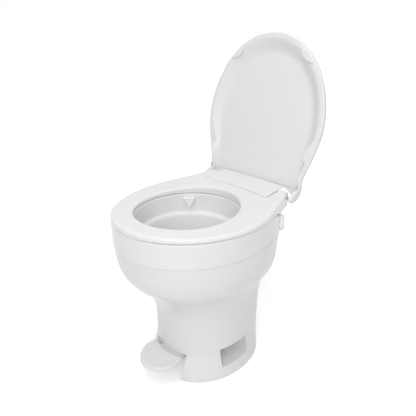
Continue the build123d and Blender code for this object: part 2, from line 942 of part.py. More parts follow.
def above_slope(drop):
    """Everything above the pedal's top slope lowered by a drop."""
    with BuildPart() as above:
        with BuildSketch(pedal_top_plane.offset(-drop)):
            Rectangle(niche_reach, recess_reach)
        extrude(amount=niche_reach)
    return above.part


pedal_hollow_cut = above_slope(pedal_ceiling)
with BuildPart() as pedal_hollow:
    with BuildSketch(Plane.XY.offset(pedal_bottom - pedal_wall)):
        add(pedal_outline(pedal_wall))
    extrude(amount=pedal_blank_top - pedal_bottom)
    add(
        block_between(
            (-lever_arm_outer - lever_clearance, pedal_rear_y - pedal_wall, pedal_bottom - pedal_wall),
            (lever_arm_outer + lever_clearance, pedal_ear_y + pedal_wall, pedal_blank_top),
        )
    )
    add(pedal_hollow_cut, mode=Mode.SUBTRACT)

pedal_slope_cut = above_slope(0)
pedal_dish_cut = above_slope(pedal_dish)
with BuildPart() as pedal_dish_cut_shape:
    with BuildSketch(Plane.XY.offset(pedal_bottom)):
        add(pedal_outline(pedal_rim))
    extrude(amount=pedal_blank_top - pedal_bottom)
    add(pedal_dish_cut, mode=Mode.INTERSECT)

with BuildPart() as pedal:
    with BuildSketch(Plane.XY.offset(pedal_bottom)):
        add(pedal_outline(0))
    extrude(amount=pedal_blank_top - pedal_bottom)
    add(pedal_slope_cut, mode=Mode.SUBTRACT)
    fillet(pedal.faces().sort_by(Axis.Z)[-1].edges(), pedal_edge)
    add(pedal_dish_cut_shape.part, mode=Mode.SUBTRACT)
    add(pedal_hollow.part, mode=Mode.SUBTRACT)
    for side in (1, -1):
        with BuildSketch(pedal_top_plane.offset(-pedal_ceiling)):
            with Locations((side * pedal_screw_x, pedal_screw_y - pedal_ear_y)):
                Circle(pedal_screw_radius)
        extrude(amount=pedal_screw_length, mode=Mode.SUBTRACT)
pedal.part.label = "pedal"

with BuildPart() as pedal_screws:
    for side in (1, -1):
        with BuildSketch(pedal_top_plane.offset(-pedal_ceiling - lever_plate)):
            with Locations((side * pedal_screw_x, pedal_screw_y - pedal_ear_y)):
                Circle(pedal_screw_radius)
        extrude(amount=lever_plate + pedal_screw_length)
        with BuildSketch(pedal_top_plane.offset(-pedal_ceiling - lever_plate)):
            with Locations((side * pedal_screw_x, pedal_screw_y - pedal_ear_y)):
                Circle(pedal_screw_head)
        extrude(amount=-pedal_screw_radius)
pedal_screws.part.label = "pedal_screws"

with BuildPart() as pedal_lever:
    add(rod_x(pivot_y, pivot_z, lever_hub_radius, -lever_half_length, lever_half_length))
    for side in (1, -1):
        with BuildSketch(Plane.YZ.offset(side * lever_arm_inner)):
            with BuildLine():
                Polyline(*lever_arm_outline, close=True)
            make_face()
        extrude(amount=side * (lever_arm_outer - lever_arm_inner))
    with BuildSketch(pedal_top_plane.offset(-pedal_ceiling)):
        with Locations((0, (lever_plate_front + lever_plate_rear) / 2 - pedal_ear_y)):
            Rectangle(2 * lever_arm_outer, lever_plate_rear - lever_plate_front)
    extrude(amount=-lever_plate)
    with BuildSketch(Plane.YZ.offset(nose_start)):
        with BuildLine():
            Polyline(
                (pivot_y, pivot_z - nose_radius),
                (pivot_y + lever_lift, pivot_z + nose_rise - nose_radius),
                (pivot_y + lever_lift, pivot_z + nose_rise + nose_radius),
                (pivot_y, pivot_z + nose_radius),
                close=True,
            )
        make_face()
        with Locations((pivot_y + lever_lift, pivot_z + nose_rise)):
            Circle(nose_radius)
    extrude(amount=nose_end - nose_start)
    add(
        rod_x(pivot_y, pivot_z, shaft_radius + running, -lever_half_length, lever_half_length),
        mode=Mode.SUBTRACT,
    )
    for side in (1, -1):
        with BuildSketch(pedal_top_plane.offset(-pedal_ceiling - lever_plate)):
            with Locations((side * pedal_screw_x, pedal_screw_y - pedal_ear_y)):
                Circle(pedal_screw_radius)
        extrude(amount=lever_plate, mode=Mode.SUBTRACT)
pedal_lever.part.label = "pedal_lever"

with BuildPart() as pedal_shaft:
    add(rod_x(pivot_y, pivot_z, shaft_radius, shaft_left, shaft_right))
pedal_shaft.part.label = "pedal_shaft"

with BuildPart() as shaft_collar:
    add(rod_x(pivot_y, pivot_z, collar_radius, right_boss_face - collar_length, right_boss_face))
    add(rod_x(pivot_y, pivot_z, shaft_radius, shaft_left, shaft_right), mode=Mode.SUBTRACT)
shaft_collar.part.label = "shaft_collar"

with BuildPart() as return_spring:
    with BuildLine():
        coil = Helix(
            coil_pitch, coil_length, coil_radius, center=(coil_start, pivot_y, pivot_z), direction=(1, 0, 0)
        )
    with BuildSketch(Plane(origin=coil @ 0, z_dir=coil % 0)):
        Circle(coil_wire)
    sweep(is_frenet=True)
return_spring.part.label = "return_spring"

# Water valve, its plunger and the inlet
nose_top = pivot_z + nose_rise + nose_radius
with BuildPart() as valve_plunger:
    disc_bottom = nose_top + plunger_gap
    add(rod_z(valve_x, valve_y, plunger_disc_radius, disc_bottom, disc_bottom + plunger_disc))
    add(rod_z(valve_x, valve_y, plunger_radius, disc_bottom, plunger_end))
valve_plunger.part.label = "valve_plunger"

with BuildPart() as water_valve:
    add(rod_z(valve_x, valve_y, valve_radius, valve_bottom, valve_top))
    with BuildSketch(Plane.XY.offset(bracket_bottom)):
        with Locations(Location((valve_x / 2, valve_y / 2, 0), (0, 0, degrees(atan2(valve_y, valve_x))))):
            Rectangle(hypot(valve_x, valve_y), 2 * bracket_half_width)
    extrude(amount=bracket_top - bracket_bottom)
    add(rod_z(0, 0, chamber_outer, bracket_bottom, bracket_top), mode=Mode.SUBTRACT)
    add(rod_z(valve_x, valve_y, barb_radius, valve_top, valve_top + barb_length))
    add(rod_y(valve_x, inlet_height, barb_radius, valve_y, valve_y + valve_radius + barb_length))
    add(rod_z(valve_x, valve_y, valve_bore_radius, valve_bottom, plunger_bore_end), mode=Mode.SUBTRACT)
    add(rod_z(valve_x, valve_y, barb_bore, plunger_bore_end, valve_top + barb_length), mode=Mode.SUBTRACT)
water_valve.part.label = "water_valve"

with BuildPart() as water_inlet:
    add(rod_y(inlet_x, inlet_height, inlet_hole_radius - running, inlet_boss_start, inlet_face))
    add(rod_y(inlet_x, inlet_height, inlet_flange_radius, inlet_face, inlet_face + inlet_flange))
    thread_start = inlet_face + inlet_flange
    add(rod_y(inlet_x, inlet_height, inlet_radius, thread_start, thread_start + inlet_thread_length))
    add(rod_y(inlet_x, inlet_height, barb_radius, inlet_tail_start, inlet_boss_start))
    thread_end = thread_start + inlet_thread_length
    add(rod_y(inlet_x, inlet_height, barb_bore, inlet_tail_start, thread_end), mode=Mode.SUBTRACT)
water_inlet.part.label = "water_inlet"

with BuildPart() as supply_hose:
    hose_front = valve_y + valve_radius + hose_start
    hose_rear = inlet_boss_start - hose_start
    add(rod_y(inlet_x, inlet_height, hose_radius, hose_front, hose_rear))
    add(rod_y(inlet_x, inlet_height, hose_bore, hose_front, hose_rear), mode=Mode.SUBTRACT)
supply_hose.part.label = "supply_hose"


def hose(route, radii):
    """A hose along straight runs joined by tangent arcs."""
    with BuildPart() as part:
        with BuildLine() as path:
            FilletPolyline(*route, radius=radii)
        with BuildSketch(Plane(origin=path.line @ 0, z_dir=path.line % 0)):
            Circle(hose_radius)
            Circle(hose_bore, mode=Mode.SUBTRACT)
        sweep()
    return part


valve_port, nozzle_port = [
    (breaker_x - depth * breaker_out[0], breaker_y - depth * breaker_out[1]) for depth in breaker_port_depths
]
drop_port = (nozzle_x + nozzle_drop_depth * nozzle_out[0], nozzle_y + nozzle_drop_depth * nozzle_out[1])
hose_top = breaker_port_bottom + hose_overlap
valve_route = [
    (valve_x, valve_y, valve_top + hose_start),
    *valve_route_middle,
    (*valve_port, valve_route_turn),
    (*valve_port, hose_top),
]
nozzle_route = [
    (*drop_port, nozzle_drop_bottom + hose_overlap),
    (*drop_port, nozzle_route_fall),
    *nozzle_route_middle,
    (*nozzle_port, nozzle_route_turn),
    (*nozzle_port, hose_top),
]
valve_hose = hose(valve_route, valve_route_radii)
valve_hose.part.label = "valve_hose"
nozzle_hose = hose(nozzle_route, nozzle_route_radii)
nozzle_hose.part.label = "nozzle_hose"

# Vacuum breaker
with BuildPart() as vacuum_breaker:
    with BuildSketch(breaker_plane.offset(-breaker_seat_depth)):
        Circle(breaker_cap_radius)
    extrude(amount=breaker_seat_depth + breaker_cap_height)
    cap_rim = vacuum_breaker.faces().sort_by(Axis(breaker_plane.origin, breaker_plane.z_dir))[-1].edges()
    fillet(cap_rim, breaker_cap_round)
    with BuildSketch(breaker_plane.offset(-breaker_body_start)):
        Circle(breaker_neck_radius)
    extrude(amount=breaker_body_start - breaker_seat_depth)
    with BuildSketch(breaker_plane.offset(-breaker_body_end)):
        Circle(breaker_body_radius)
    extrude(amount=breaker_body_end - breaker_body_start)
    for port in (valve_port, nozzle_port):
        add(rod_z(*port, barb_radius, breaker_port_bottom, breaker_z))
vacuum_breaker.part.label = "vacuum_breaker"

# Flush nozzle: a wedge on the wall, its pipe through the wall and a barb for the hose
nozzle_plane = turned_plane(nozzle_x, nozzle_y, 0, nozzle_turn)
with BuildPart() as spray_nozzle:
    with BuildSketch(nozzle_plane.offset(-nozzle_plate)) as wedge:
        with BuildLine():
            Polyline(
                (-nozzle_half_width, nozzle_top),
                (0, nozzle_tip),
                (nozzle_half_width, nozzle_top),
                close=True,
            )
        make_face()
        fillet(wedge.vertices(), nozzle_corner)
    extrude(amount=nozzle_plate)
    with BuildSketch(nozzle_plane):
        with Locations((0, nozzle_pipe_height)):
            Circle(nozzle_pipe_radius)
    extrude(amount=nozzle_pipe_length)
    add(rod_z(*drop_port, barb_radius, nozzle_drop_bottom, nozzle_pipe_height))
spray_nozzle.part.label = "spray_nozzle"

# Hinge blocks, pins, bolts and cover
hinge_lean = radians(lid_lean)


def hinge_block(side):
    """A block on the deck that holds one hinge pin."""
    with BuildPart() as part:
        with BuildSketch(Plane.YZ.offset(side * block_inner)):
            with BuildLine():
                Polyline(
                    (block_front, rim_top),
                    (block_rear, rim_top),
                    (hinge_y + barrel_radius, hinge_z),
                    (hinge_y - barrel_radius, hinge_z),
                    (hinge_y - barrel_radius, block_base),
                    (block_front, block_base),
                    close=True,
                )
            make_face()
            with Locations((hinge_y, hinge_z)):
                Circle(barrel_radius)
        extrude(amount=side * (block_outer - block_inner))
        low, high = sorted((side * pin_start, side * pin_end))
        add(rod_x(hinge_y, hinge_z, pin_radius, low, high), mode=Mode.SUBTRACT)
        add(
            rod_z(side * hinge_bolt_x, hinge_bolt_y, hinge_bolt_radius, rim_top, block_base),
            mode=Mode.SUBTRACT,
        )
    return part


hinge_block_right = hinge_block(1)
hinge_block_right.part.label = "hinge_block_right"
hinge_block_left = hinge_block(-1)
hinge_block_left.part.label = "hinge_block_left"

with BuildPart() as hinge_pins:
    add(rod_x(hinge_y, hinge_z, pin_radius, pin_start, pin_end))
    add(rod_x(hinge_y, hinge_z, pin_radius, -pin_end, -pin_start))
hinge_pins.part.label = "hinge_pins"

deck_under = rim_top - deck_wall
with BuildPart() as hinge_bolts:
    for side in (1, -1):
        place = (side * hinge_bolt_x, hinge_bolt_y)
        add(rod_z(*place, hinge_bolt_radius, hinge_bolt_end, block_base))
        add(rod_z(*place, hinge_bolt_head, block_base, block_base + hinge_bolt_head_height))
hinge_bolts.part.label = "hinge_bolts"

with BuildPart() as hinge_washers:
    for side in (1, -1):
        place = (side * hinge_bolt_x, hinge_bolt_y)
        add(rod_z(*place, washer_radius, deck_under - washer, deck_under))
        add(rod_z(*place, hinge_bolt_hole, deck_under - washer, deck_under), mode=Mode.SUBTRACT)
hinge_washers.part.label = "hinge_washers"

with BuildPart() as hinge_nuts:
    for side in (1, -1):
        with BuildSketch(Plane.XY.offset(deck_under - washer - nut_height)):
            with Locations((side * hinge_bolt_x, hinge_bolt_y)):
                RegularPolygon(nut_across, 6)
                Circle(hinge_bolt_radius, mode=Mode.SUBTRACT)
        extrude(amount=nut_height)
hinge_nuts.part.label = "hinge_nuts"

cover_hypot = hypot(cover_run, cover_rise)
cover_plane = Plane(
    origin=(0, cover_front_y, cover_front_z),
    x_dir=(1, 0, 0),
    z_dir=(0, -cover_rise / cover_hypot, cover_run / cover_hypot),
)
with BuildPart() as hinge_cover:
    with BuildSketch(cover_plane):
        with BuildLine():
            ThreePointArc((cover_front_half, 0), (0, cover_front_bow), (-cover_front_half, 0))
            Line((-cover_front_half, 0), (-cover_rear_half, cover_length))
            ThreePointArc(
                (-cover_rear_half, cover_length),
                (0, cover_length + cover_rear_bow),
                (cover_rear_half, cover_length),
            )
            Line((cover_rear_half, cover_length), (cover_front_half, 0))
        make_face()
    extrude(amount=-cover_thickness)
    for side in (1, -1):
        under = cover_front_z + cover_rise * (post_y - cover_front_y) / cover_run - cover_thickness / 2
        add(
            block_between(
                (side * post_x - post_size / 2, post_y - post_size / 2, block_base),
                (side * post_x + post_size / 2, post_y + post_size / 2, under),
            )
        )
hinge_cover.part.label = "hinge_cover"

# Seat
flank_half = asin((seat_flank_y - hull_centre) / seat_flank_radius) / 2
flank_middle = (
    seat_half_width - seat_flank_radius + seat_flank_radius * cos(flank_half),
    hull_centre + seat_flank_radius * sin(flank_half),
)
with BuildPart() as seat_top_cut:
    with BuildSketch(Plane.YZ):
        with BuildLine():
            crest = []
            for step in range(outline_steps + 1):
                share = (step / outline_steps) * (recess_reach - seat_top_start) / seat_top_length
                height = seat_top_front - seat_top_dip * share + seat_top_rise * share**2
                crest.append((seat_top_start + share * seat_top_length, height))
            Spline(*crest)
            Polyline(crest[-1], (crest[-1][0], seat_cut_top), (crest[0][0], seat_cut_top), crest[0])
        make_face()
    extrude(amount=recess_reach, both=True)

with BuildPart() as seat:
    with BuildSketch(Plane.XY.offset(ear_bottom)) as seat_plan:
        with BuildLine():
            reach = seat_front + hull_centre
            EllipticalCenterArc((0, hull_centre), seat_half_width, reach, half_turn, arc_size=half_turn)
            for side in (1, -1):
                ThreePointArc(
                    (side * seat_half_width, hull_centre),
                    (side * flank_middle[0], flank_middle[1]),
                    (side * seat_flank_x, seat_flank_y),
                )
                Line((side * seat_flank_x, seat_flank_y), (side * ear_x, ear_y))
            Line((ear_x, ear_y), (-ear_x, ear_y))
        make_face()
        fillet(seat_plan.vertices().sort_by(Axis.Y)[-2:], ear_corner)
    extrude(amount=seat_blank_top - ear_bottom)
    add(seat_top_cut.part, mode=Mode.SUBTRACT)
    with BuildSketch(Plane.XY.offset(ear_bottom)):
        with BuildLine():
            ThreePointArc((ear_inner, seat_cut_side), (0, seat_cut_middle), (-ear_inner, seat_cut_side))
            Polyline(
                (-ear_inner, seat_cut_side),
                (-ear_inner, recess_reach),
                (ear_inner, recess_reach),
                (ear_inner, seat_cut_side),
            )
        make_face()
        with Locations((0, seat_hole_centre)):
            Ellipse(seat_hole_half_width, seat_hole_half_length)
    extrude(amount=seat_blank_top - ear_bottom, mode=Mode.SUBTRACT)
    raised_faces = seat.faces().filter_by(lambda face: face.center().Z > seat_bottom)
    fillet(raised_faces.sort_by(SortBy.AREA)[-1].edges(), seat_edge)
    add(
        block_between(
            (-recess_reach, -recess_reach, ear_bottom - bumper_radius),
            (recess_reach, ear_front, seat_bottom),
        ),
        mode=Mode.SUBTRACT,
    )
    add(
        block_between(
            (-ear_inner, ear_front - bumper_radius, ear_bottom - bumper_radius),
            (ear_inner, recess_reach, seat_bottom),
        ),
        mode=Mode.SUBTRACT,
    )
    add(rod_x(hinge_y, hinge_z, pin_radius + running, -recess_reach, recess_reach), mode=Mode.SUBTRACT)
    for place in bumper_places:
        add(
            rod_z(*place, bumper_radius, seat_bottom - bumper_recess, seat_bottom + bumper_recess),
            mode=Mode.SUBTRACT,
        )
seat.part.label = "seat"

with BuildPart() as seat_bumpers:
    for place in bumper_places:
        add(rod_z(*place, bumper_radius, rim_top + bumper_gap, seat_bottom + bumper_recess))
seat_bumpers.part.label = "seat_bumpers"

# Lid
lid_plane = Plane(
    origin=(0, hinge_y, hinge_z), x_dir=(1, 0, 0), z_dir=(0, -cos(hinge_lean), sin(hinge_lean))
)


def lid_point(along, behind):
    """A point of the lid's side view as (Y, Z)."""
    return (
        hinge_y + along * sin(hinge_lean) + behind * cos(hinge_lean),
        hinge_z + along * cos(hinge_lean) - behind * sin(hinge_lean),
    )


def lid_lines(half_width, reach, flank):
    """The lid's outline: half an ellipse over two flanks and a straight lower edge."""
    EllipticalCenterArc((0, lid_centre), half_width, reach, 0, arc_size=half_turn)
    for side in (1, -1):
        Spline(
            (side * half_width, lid_centre),
            *[(side * x, y) for x, y in flank],
            tangents=[(0, -1), (-side * lid_flank_lean, -1)],
        )
    Line((flank[-1][0], flank[-1][1]), (-flank[-1][0], flank[-1][1]))


with BuildPart() as lid_hollow:
    with BuildSketch(lid_plane.offset(-rim_plane)):
        with BuildLine():
            lid_lines(lid_half_width - lid_rim, lid_reach - lid_rim, recess_rim_flank)
        make_face()
    with BuildSketch(lid_plane.offset(-rim_plane - lid_recess)):
        with BuildLine():
            lid_lines(recess_half_width, recess_reach_up, recess_floor_flank)
        make_face()
    loft(ruled=True)

with BuildPart() as lid:
    with BuildSketch(lid_plane.offset(-rim_plane)):
        with BuildLine():
            lid_lines(lid_half_width, lid_reach, lid_flank)
        make_face()
    extrude(amount=-lid_depth)
    back = lid.faces().sort_by(Axis(lid_plane.origin, lid_plane.z_dir))[0]
    round_edges = [edge for edge in back.edges() if edge.geom_type != GeomType.LINE]
    fillet(round_edges, lid_back_round)
    add(lid_hollow.part, mode=Mode.SUBTRACT)
    for side in (1, -1):
        with BuildSketch(Plane.YZ.offset(side * lug_inner)):
            with BuildLine():
                Polyline(*[lid_point(*corner) for corner in arm_corners], close=True)
            make_face()
            with Locations((hinge_y, hinge_z)):
                Circle(lug_radius)
        extrude(amount=side * (lug_outer - lug_inner))
    add(
        rod_x(hinge_y, hinge_z, pin_radius + running, -lug_bore_end, lug_bore_end),
        mode=Mode.SUBTRACT,
    )
lid.part.label = "lid"

with BuildPart() as lid_bumpers:
    for side in (1, -1):
        for start, inner, end, outer in pad_arcs:
            with BuildSketch(lid_plane.offset(-rim_plane)):
                with BuildLine():
                    for middle in (inner, outer):
                        ThreePointArc(
                            (side * start[0], start[1]),
                            (side * middle[0], middle[1]),
                            (side * end[0], end[1]),
                        )
                make_face()
            extrude(amount=pad_height)
lid_bumpers.part.label = "lid_bumpers"

for piece in (
    pedestal, bowl, spray_nozzle, vacuum_breaker, valve_hose, nozzle_hose, supply_hose,
    water_valve, valve_plunger, water_inlet, valve_housing, housing_screws, ball_seal,
    floor_seal, bush_right, bush_left, waste_ball, drive_stub, idle_stub, stub_clip, pinion,
    sector_gear, pedal, pedal_screws, pedal_lever, pedal_shaft, shaft_collar, return_spring,
    hinge_block_right, hinge_block_left, hinge_pins, hinge_bolts, hinge_washers, hinge_nuts,
    hinge_cover, seat, seat_bumpers, lid, lid_bumpers,
):
    export_step(piece.part, f"parts/{piece.part.label}.step")
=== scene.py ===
"""Visible surfaces, finishes, floor, light and camera of the toilet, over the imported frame."""

import logging
from dataclasses import dataclass, field
from enum import Enum
from typing import Callable, Sequence

import bpy
import numpy as np
from mathutils import Matrix, Vector
from mathutils.geometry import delaunay_2d_cdt


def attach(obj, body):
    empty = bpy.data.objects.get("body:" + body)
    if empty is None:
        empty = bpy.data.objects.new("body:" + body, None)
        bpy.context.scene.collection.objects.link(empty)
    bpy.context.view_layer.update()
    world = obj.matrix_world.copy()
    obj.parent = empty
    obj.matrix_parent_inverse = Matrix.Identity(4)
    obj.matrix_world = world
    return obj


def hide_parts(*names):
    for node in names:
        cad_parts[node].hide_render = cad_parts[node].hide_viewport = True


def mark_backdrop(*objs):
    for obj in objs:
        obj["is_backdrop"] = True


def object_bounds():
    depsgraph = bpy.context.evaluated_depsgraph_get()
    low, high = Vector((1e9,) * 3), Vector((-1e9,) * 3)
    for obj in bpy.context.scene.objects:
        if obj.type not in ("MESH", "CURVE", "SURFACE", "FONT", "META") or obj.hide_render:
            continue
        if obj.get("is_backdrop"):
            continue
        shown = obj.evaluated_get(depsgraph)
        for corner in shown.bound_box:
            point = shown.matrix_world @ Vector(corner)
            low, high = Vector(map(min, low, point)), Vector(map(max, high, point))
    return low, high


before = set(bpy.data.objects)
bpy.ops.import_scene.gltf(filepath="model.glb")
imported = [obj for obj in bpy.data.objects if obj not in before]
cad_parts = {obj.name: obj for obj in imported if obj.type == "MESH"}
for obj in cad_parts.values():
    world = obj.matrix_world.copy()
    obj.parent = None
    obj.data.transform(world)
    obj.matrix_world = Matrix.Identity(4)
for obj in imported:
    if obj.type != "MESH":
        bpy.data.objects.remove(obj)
START_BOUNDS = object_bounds()
log = logging.getLogger("toilet")
MM = 0.001
SIDES = ((1, "right"), (-1, "left"))
Array = np.ndarray
Height = Callable[[Array, Array], Array]
Colour = tuple[float, float, float]


class Body(Enum):
    """The CAD bodies that the pieces ride on."""

    BASE = "base"
    SEAT = "seat"
    LID = "lid"
    PEDAL = "pedal"


def add_node(
    nodes: bpy.types.Nodes, kind: str, inputs: dict[str, object] | None = None, **settings: object
) -> bpy.types.Node:
    """Adds a shader node: its settings are made first, because they decide which inputs it has.

    Args:
        nodes: The nodes of a material, world or group.
        kind: The node's type.
        inputs: Values of its inputs, by name.
        settings: Values of its own properties, by name.

    Returns:
        The node.
    """
    node = nodes.new(kind)
    for name, value in settings.items():
        setattr(node, name, value)
    for name, value in (inputs or {}).items():
        node.inputs[name].default_value = value
    return node


def mottle_group() -> bpy.types.NodeTree:
    """The shared group of faint mottling: a value mask and a normal from Object coordinates.

    The mask is noise at the given scale, stretched to the range 0 to 1. The normal is a bump
    of finer noise, at the given strength, so moulded plastic has its slight orange peel.

    Returns:
        The node group, built once and found by name afterwards.
    """
    name = "mottle"
    if name in bpy.data.node_groups:
        return bpy.data.node_groups[name]
    group = bpy.data.node_groups.new(name, "ShaderNodeTree")
    for label, default in (("Scale", 20.0), ("Fine scale", 900.0), ("Strength", 0.05)):
        socket = group.interface.new_socket(label, in_out="INPUT", socket_type="NodeSocketFloat")
        socket.default_value = default
    group.interface.new_socket("Mask", in_out="OUTPUT", socket_type="NodeSocketFloat")
    group.interface.new_socket("Normal", in_out="OUTPUT", socket_type="NodeSocketVector")
    nodes, links = group.nodes, group.links
    inlet = nodes.new("NodeGroupInput")
    outlet = nodes.new("NodeGroupOutput")
    coordinates = nodes.new("ShaderNodeTexCoord")
    broad = add_node(nodes, "ShaderNodeTexNoise", {"Detail": 1.0})
    fine = add_node(nodes, "ShaderNodeTexNoise", {"Detail": 1.0})
    spread = add_node(nodes, "ShaderNodeMapRange", {"From Min": 0.2, "From Max": 0.8})
    bump = add_node(nodes, "ShaderNodeBump", {"Distance": 0.0001})
    links.new(coordinates.outputs["Object"], broad.inputs["Vector"])
    links.new(coordinates.outputs["Object"], fine.inputs["Vector"])
    links.new(inlet.outputs["Scale"], broad.inputs["Scale"])
    links.new(inlet.outputs["Fine scale"], fine.inputs["Scale"])
    links.new(inlet.outputs["Strength"], bump.inputs["Strength"])
    links.new(broad.outputs["Fac"], spread.inputs["Value"])
    links.new(fine.outputs["Fac"], bump.inputs["Height"])
    links.new(spread.outputs["Result"], outlet.inputs["Mask"])
    links.new(bump.outputs["Normal"], outlet.inputs["Normal"])
    return group


@dataclass(frozen=True)
class Finish:
    """One finish: two close colours mixed by the mottle mask, and a roughness range by the same mask."""

    name: str
    light: Colour
    dark: Colour
    smooth: float
    rough: float
    metallic: float = 0.0
    specular: float = 0.5
    scale: float = 7.0
    fine_scale: float = 260.0
    strength: float = 0.02

    def material(self) -> bpy.types.Material:
        """Builds the material once.

        Returns:
            A Principled material whose colour and roughness follow the mottle mask.
        """
        if self.name in bpy.data.materials:
            return bpy.data.materials[self.name]
        material = bpy.data.materials.new(self.name)
        material.use_nodes = True
        nodes, links = material.node_tree.nodes, material.node_tree.links
        shader = nodes["Principled BSDF"]
        shader.inputs["Metallic"].default_value = self.metallic
        shader.inputs["Specular IOR Level"].default_value = self.specular
        sizes = {"Scale": self.scale, "Fine scale": self.fine_scale, "Strength": self.strength}
        mottle = add_node(nodes, "ShaderNodeGroup", sizes, node_tree=mottle_group())
        colours = {"A": (*self.dark, 1.0), "B": (*self.light, 1.0)}
        colour = add_node(nodes, "ShaderNodeMix", colours, data_type="RGBA")
        roughness = add_node(nodes, "ShaderNodeMapRange", {"To Min": self.rough, "To Max": self.smooth})
        links.new(mottle.outputs["Mask"], colour.inputs["Factor"])
        links.new(mottle.outputs["Mask"], roughness.inputs["Value"])
        links.new(mottle.outputs["Normal"], shader.inputs["Normal"])
        links.new(colour.outputs["Result"], shader.inputs["Base Color"])
        links.new(roughness.outputs["Result"], shader.inputs["Roughness"])
        return material

    def dress(self, *objects: bpy.types.Object) -> None:
        """Gives these objects this finish alone.

        Args:
            objects: Mesh objects; their material slots are replaced.
        """
        for obj in objects:
            obj.data.materials.clear()
            obj.data.materials.append(self.material())


WHITE = Finish("white_plastic", (0.803, 0.803, 0.803), (0.799, 0.799, 0.799), 0.25, 0.265, specular=0.3)
WHITE_INSIDE = Finish("white_bowl", (0.803, 0.803, 0.802), (0.799, 0.799, 0.798), 0.22, 0.235, specular=0.35)
WHITE_FITTING = Finish("white_fitting", (0.80, 0.80, 0.798), (0.795, 0.795, 0.792), 0.32, 0.35, specular=0.3)
MECHANISM = Finish("grey_plastic", (0.13, 0.135, 0.145), (0.10, 0.105, 0.11), 0.45, 0.58)
RUBBER = Finish("black_rubber", (0.03, 0.03, 0.032), (0.02, 0.02, 0.021), 0.6, 0.75, strength=0.1)
PAD = Finish("soft_pad", (0.80, 0.80, 0.798), (0.795, 0.795, 0.792), 0.4, 0.45, specular=0.3)
STEEL = Finish("plain_steel", (0.62, 0.62, 0.63), (0.52, 0.52, 0.53), 0.28, 0.4, metallic=1.0, scale=60.0)

NODE_FINISHES: dict[Finish, tuple[str, ...]] = {
    WHITE_FITTING: ("hinge_block_right", "hinge_block_left", "pedal_lever"),
    MECHANISM: (
        "valve_housing",
        "bush_right",
        "bush_left",
        "waste_ball",
        "pinion",
        "sector_gear",
        "valve_plunger",
        "water_valve",
        "water_inlet",
    ),
    RUBBER: ("ball_seal", "floor_seal", "valve_hose", "nozzle_hose", "supply_hose"),
    PAD: ("seat_bumpers",),
    STEEL: (
        "housing_screws",
        "pedal_shaft",
        "shaft_collar",
        "return_spring",
        "hinge_pins",
        "hinge_bolts",
        "hinge_washers",
        "hinge_nuts",
        "drive_stub",
        "idle_stub",
        "stub_clip",
        "pedal_screws",
    ),
}


def mesh_object(name: str, points: Array, faces: Sequence[Array], sharp: float = 40.0) -> bpy.types.Object:
    """One mesh object from points in millimetres and arrays of faces; points without a face are left out.

    Args:
        name: Name of the object and its mesh.
        points: An (n, 3) array.
        faces: Arrays of shape (m, 3) or (m, 4) of point numbers.
        sharp: Edges that turn by more degrees than this are shaded sharp.

    Returns:
        The linked object, at the origin, unturned and unscaled, with outward normals.
    """
    used = np.unique(np.concatenate([block.ravel() for block in faces]))
    number = np.zeros(len(points), dtype=int)
    number[used] = np.arange(len(used))
    mesh = bpy.data.meshes.new(name)
    listed = [row for block in faces for row in number[block].tolist()]
    mesh.from_pydata((points[used] * MM).tolist(), [], listed)
    mesh.validate()
    mesh.update()
    obj = bpy.data.objects.new(name, mesh)
    bpy.context.scene.collection.objects.link(obj)
    mesh.polygons.foreach_set("use_smooth", np.ones(len(mesh.polygons), dtype=bool))
    with bpy.context.temp_override(active_object=obj, object=obj, selected_objects=[obj]):
        mesh.set_sharp_from_angle(angle=np.radians(sharp))
    return obj


def quads_of(numbers: Array, wrap: bool = False) -> Array:
    """Quads between neighbours in a grid of point numbers.

    Args:
        numbers: The (rows, columns) point numbers.
        wrap: True where the last column meets the first.

    Returns:
        The (rows - 1, cells, 4) corners of the quads.
    """
    if wrap:
        numbers = np.hstack([numbers, numbers[:, :1]])
    return np.stack([numbers[:-1, :-1], numbers[:-1, 1:], numbers[1:, 1:], numbers[1:, :-1]], axis=-1)


def grid_numbers(rows: int, columns: int) -> Array:
    """Point numbers of a grid: row times columns plus column."""
    return np.arange(rows * columns).reshape(rows, columns)


def border(grid: Array) -> Array:
    """The outer entries of a grid, walked once round from its first corner."""
    return np.concatenate([grid[0, :-1], grid[:-1, -1], grid[-1, :0:-1], grid[:0:-1, 0]])


def smoothstep(value: Array, low: float, high: float) -> Array:
    """3t² - 2t³ with t running from 0 at low to 1 at high.

    Args:
        value: The values.
        low: Where the step starts.
        high: Where it ends.

    Returns:
        The step, from 0 to 1.
    """
    share = np.clip((value - low) / (high - low), 0.0, 1.0)
    return share * share * (3.0 - 2.0 * share)


def cubic_through(at: Array, places: Array, values: Array, slopes: Array) -> Array:
    """Hermite cubics between places g apart: (2t³-3t²+1)a + (t³-2t²+t)gm + (3t²-2t³)b + (t³-t²)gn.

    Args:
        at: Where the curve is wanted.
        places: Rising places.
        values: The curve's values there, a and b.
        slopes: Its slopes there, m and n.

    Returns:
        The curve's values at the wanted places.
    """
    index = np.clip(np.searchsorted(places, at, side="right") - 1, 0, len(places) - 2)
    gap = places[index + 1] - places[index]
    part = (at - places[index]) / gap
    return (
        (2 * part**3 - 3 * part**2 + 1) * values[index]
        + (part**3 - 2 * part**2 + part) * gap * slopes[index]
        + (3 * part**2 - 2 * part**3) * values[index + 1]
        + (part**3 - part**2) * gap * slopes[index + 1]
    )


def rounded_drop(distance: Array, radius: float) -> Array:
    """How far a quarter-round edge has dropped at a distance from the edge: r - sqrt(r² - (r - d)²).

    Args:
        distance: Distance inwards from the edge.
        radius: The round's radius.

    Returns:
        The drop, from the radius at the edge to 0 at one radius inwards.
    """
    inside = np.clip(radius - distance, 0.0, radius)
    return radius - np.sqrt(radius * radius - inside * inside)


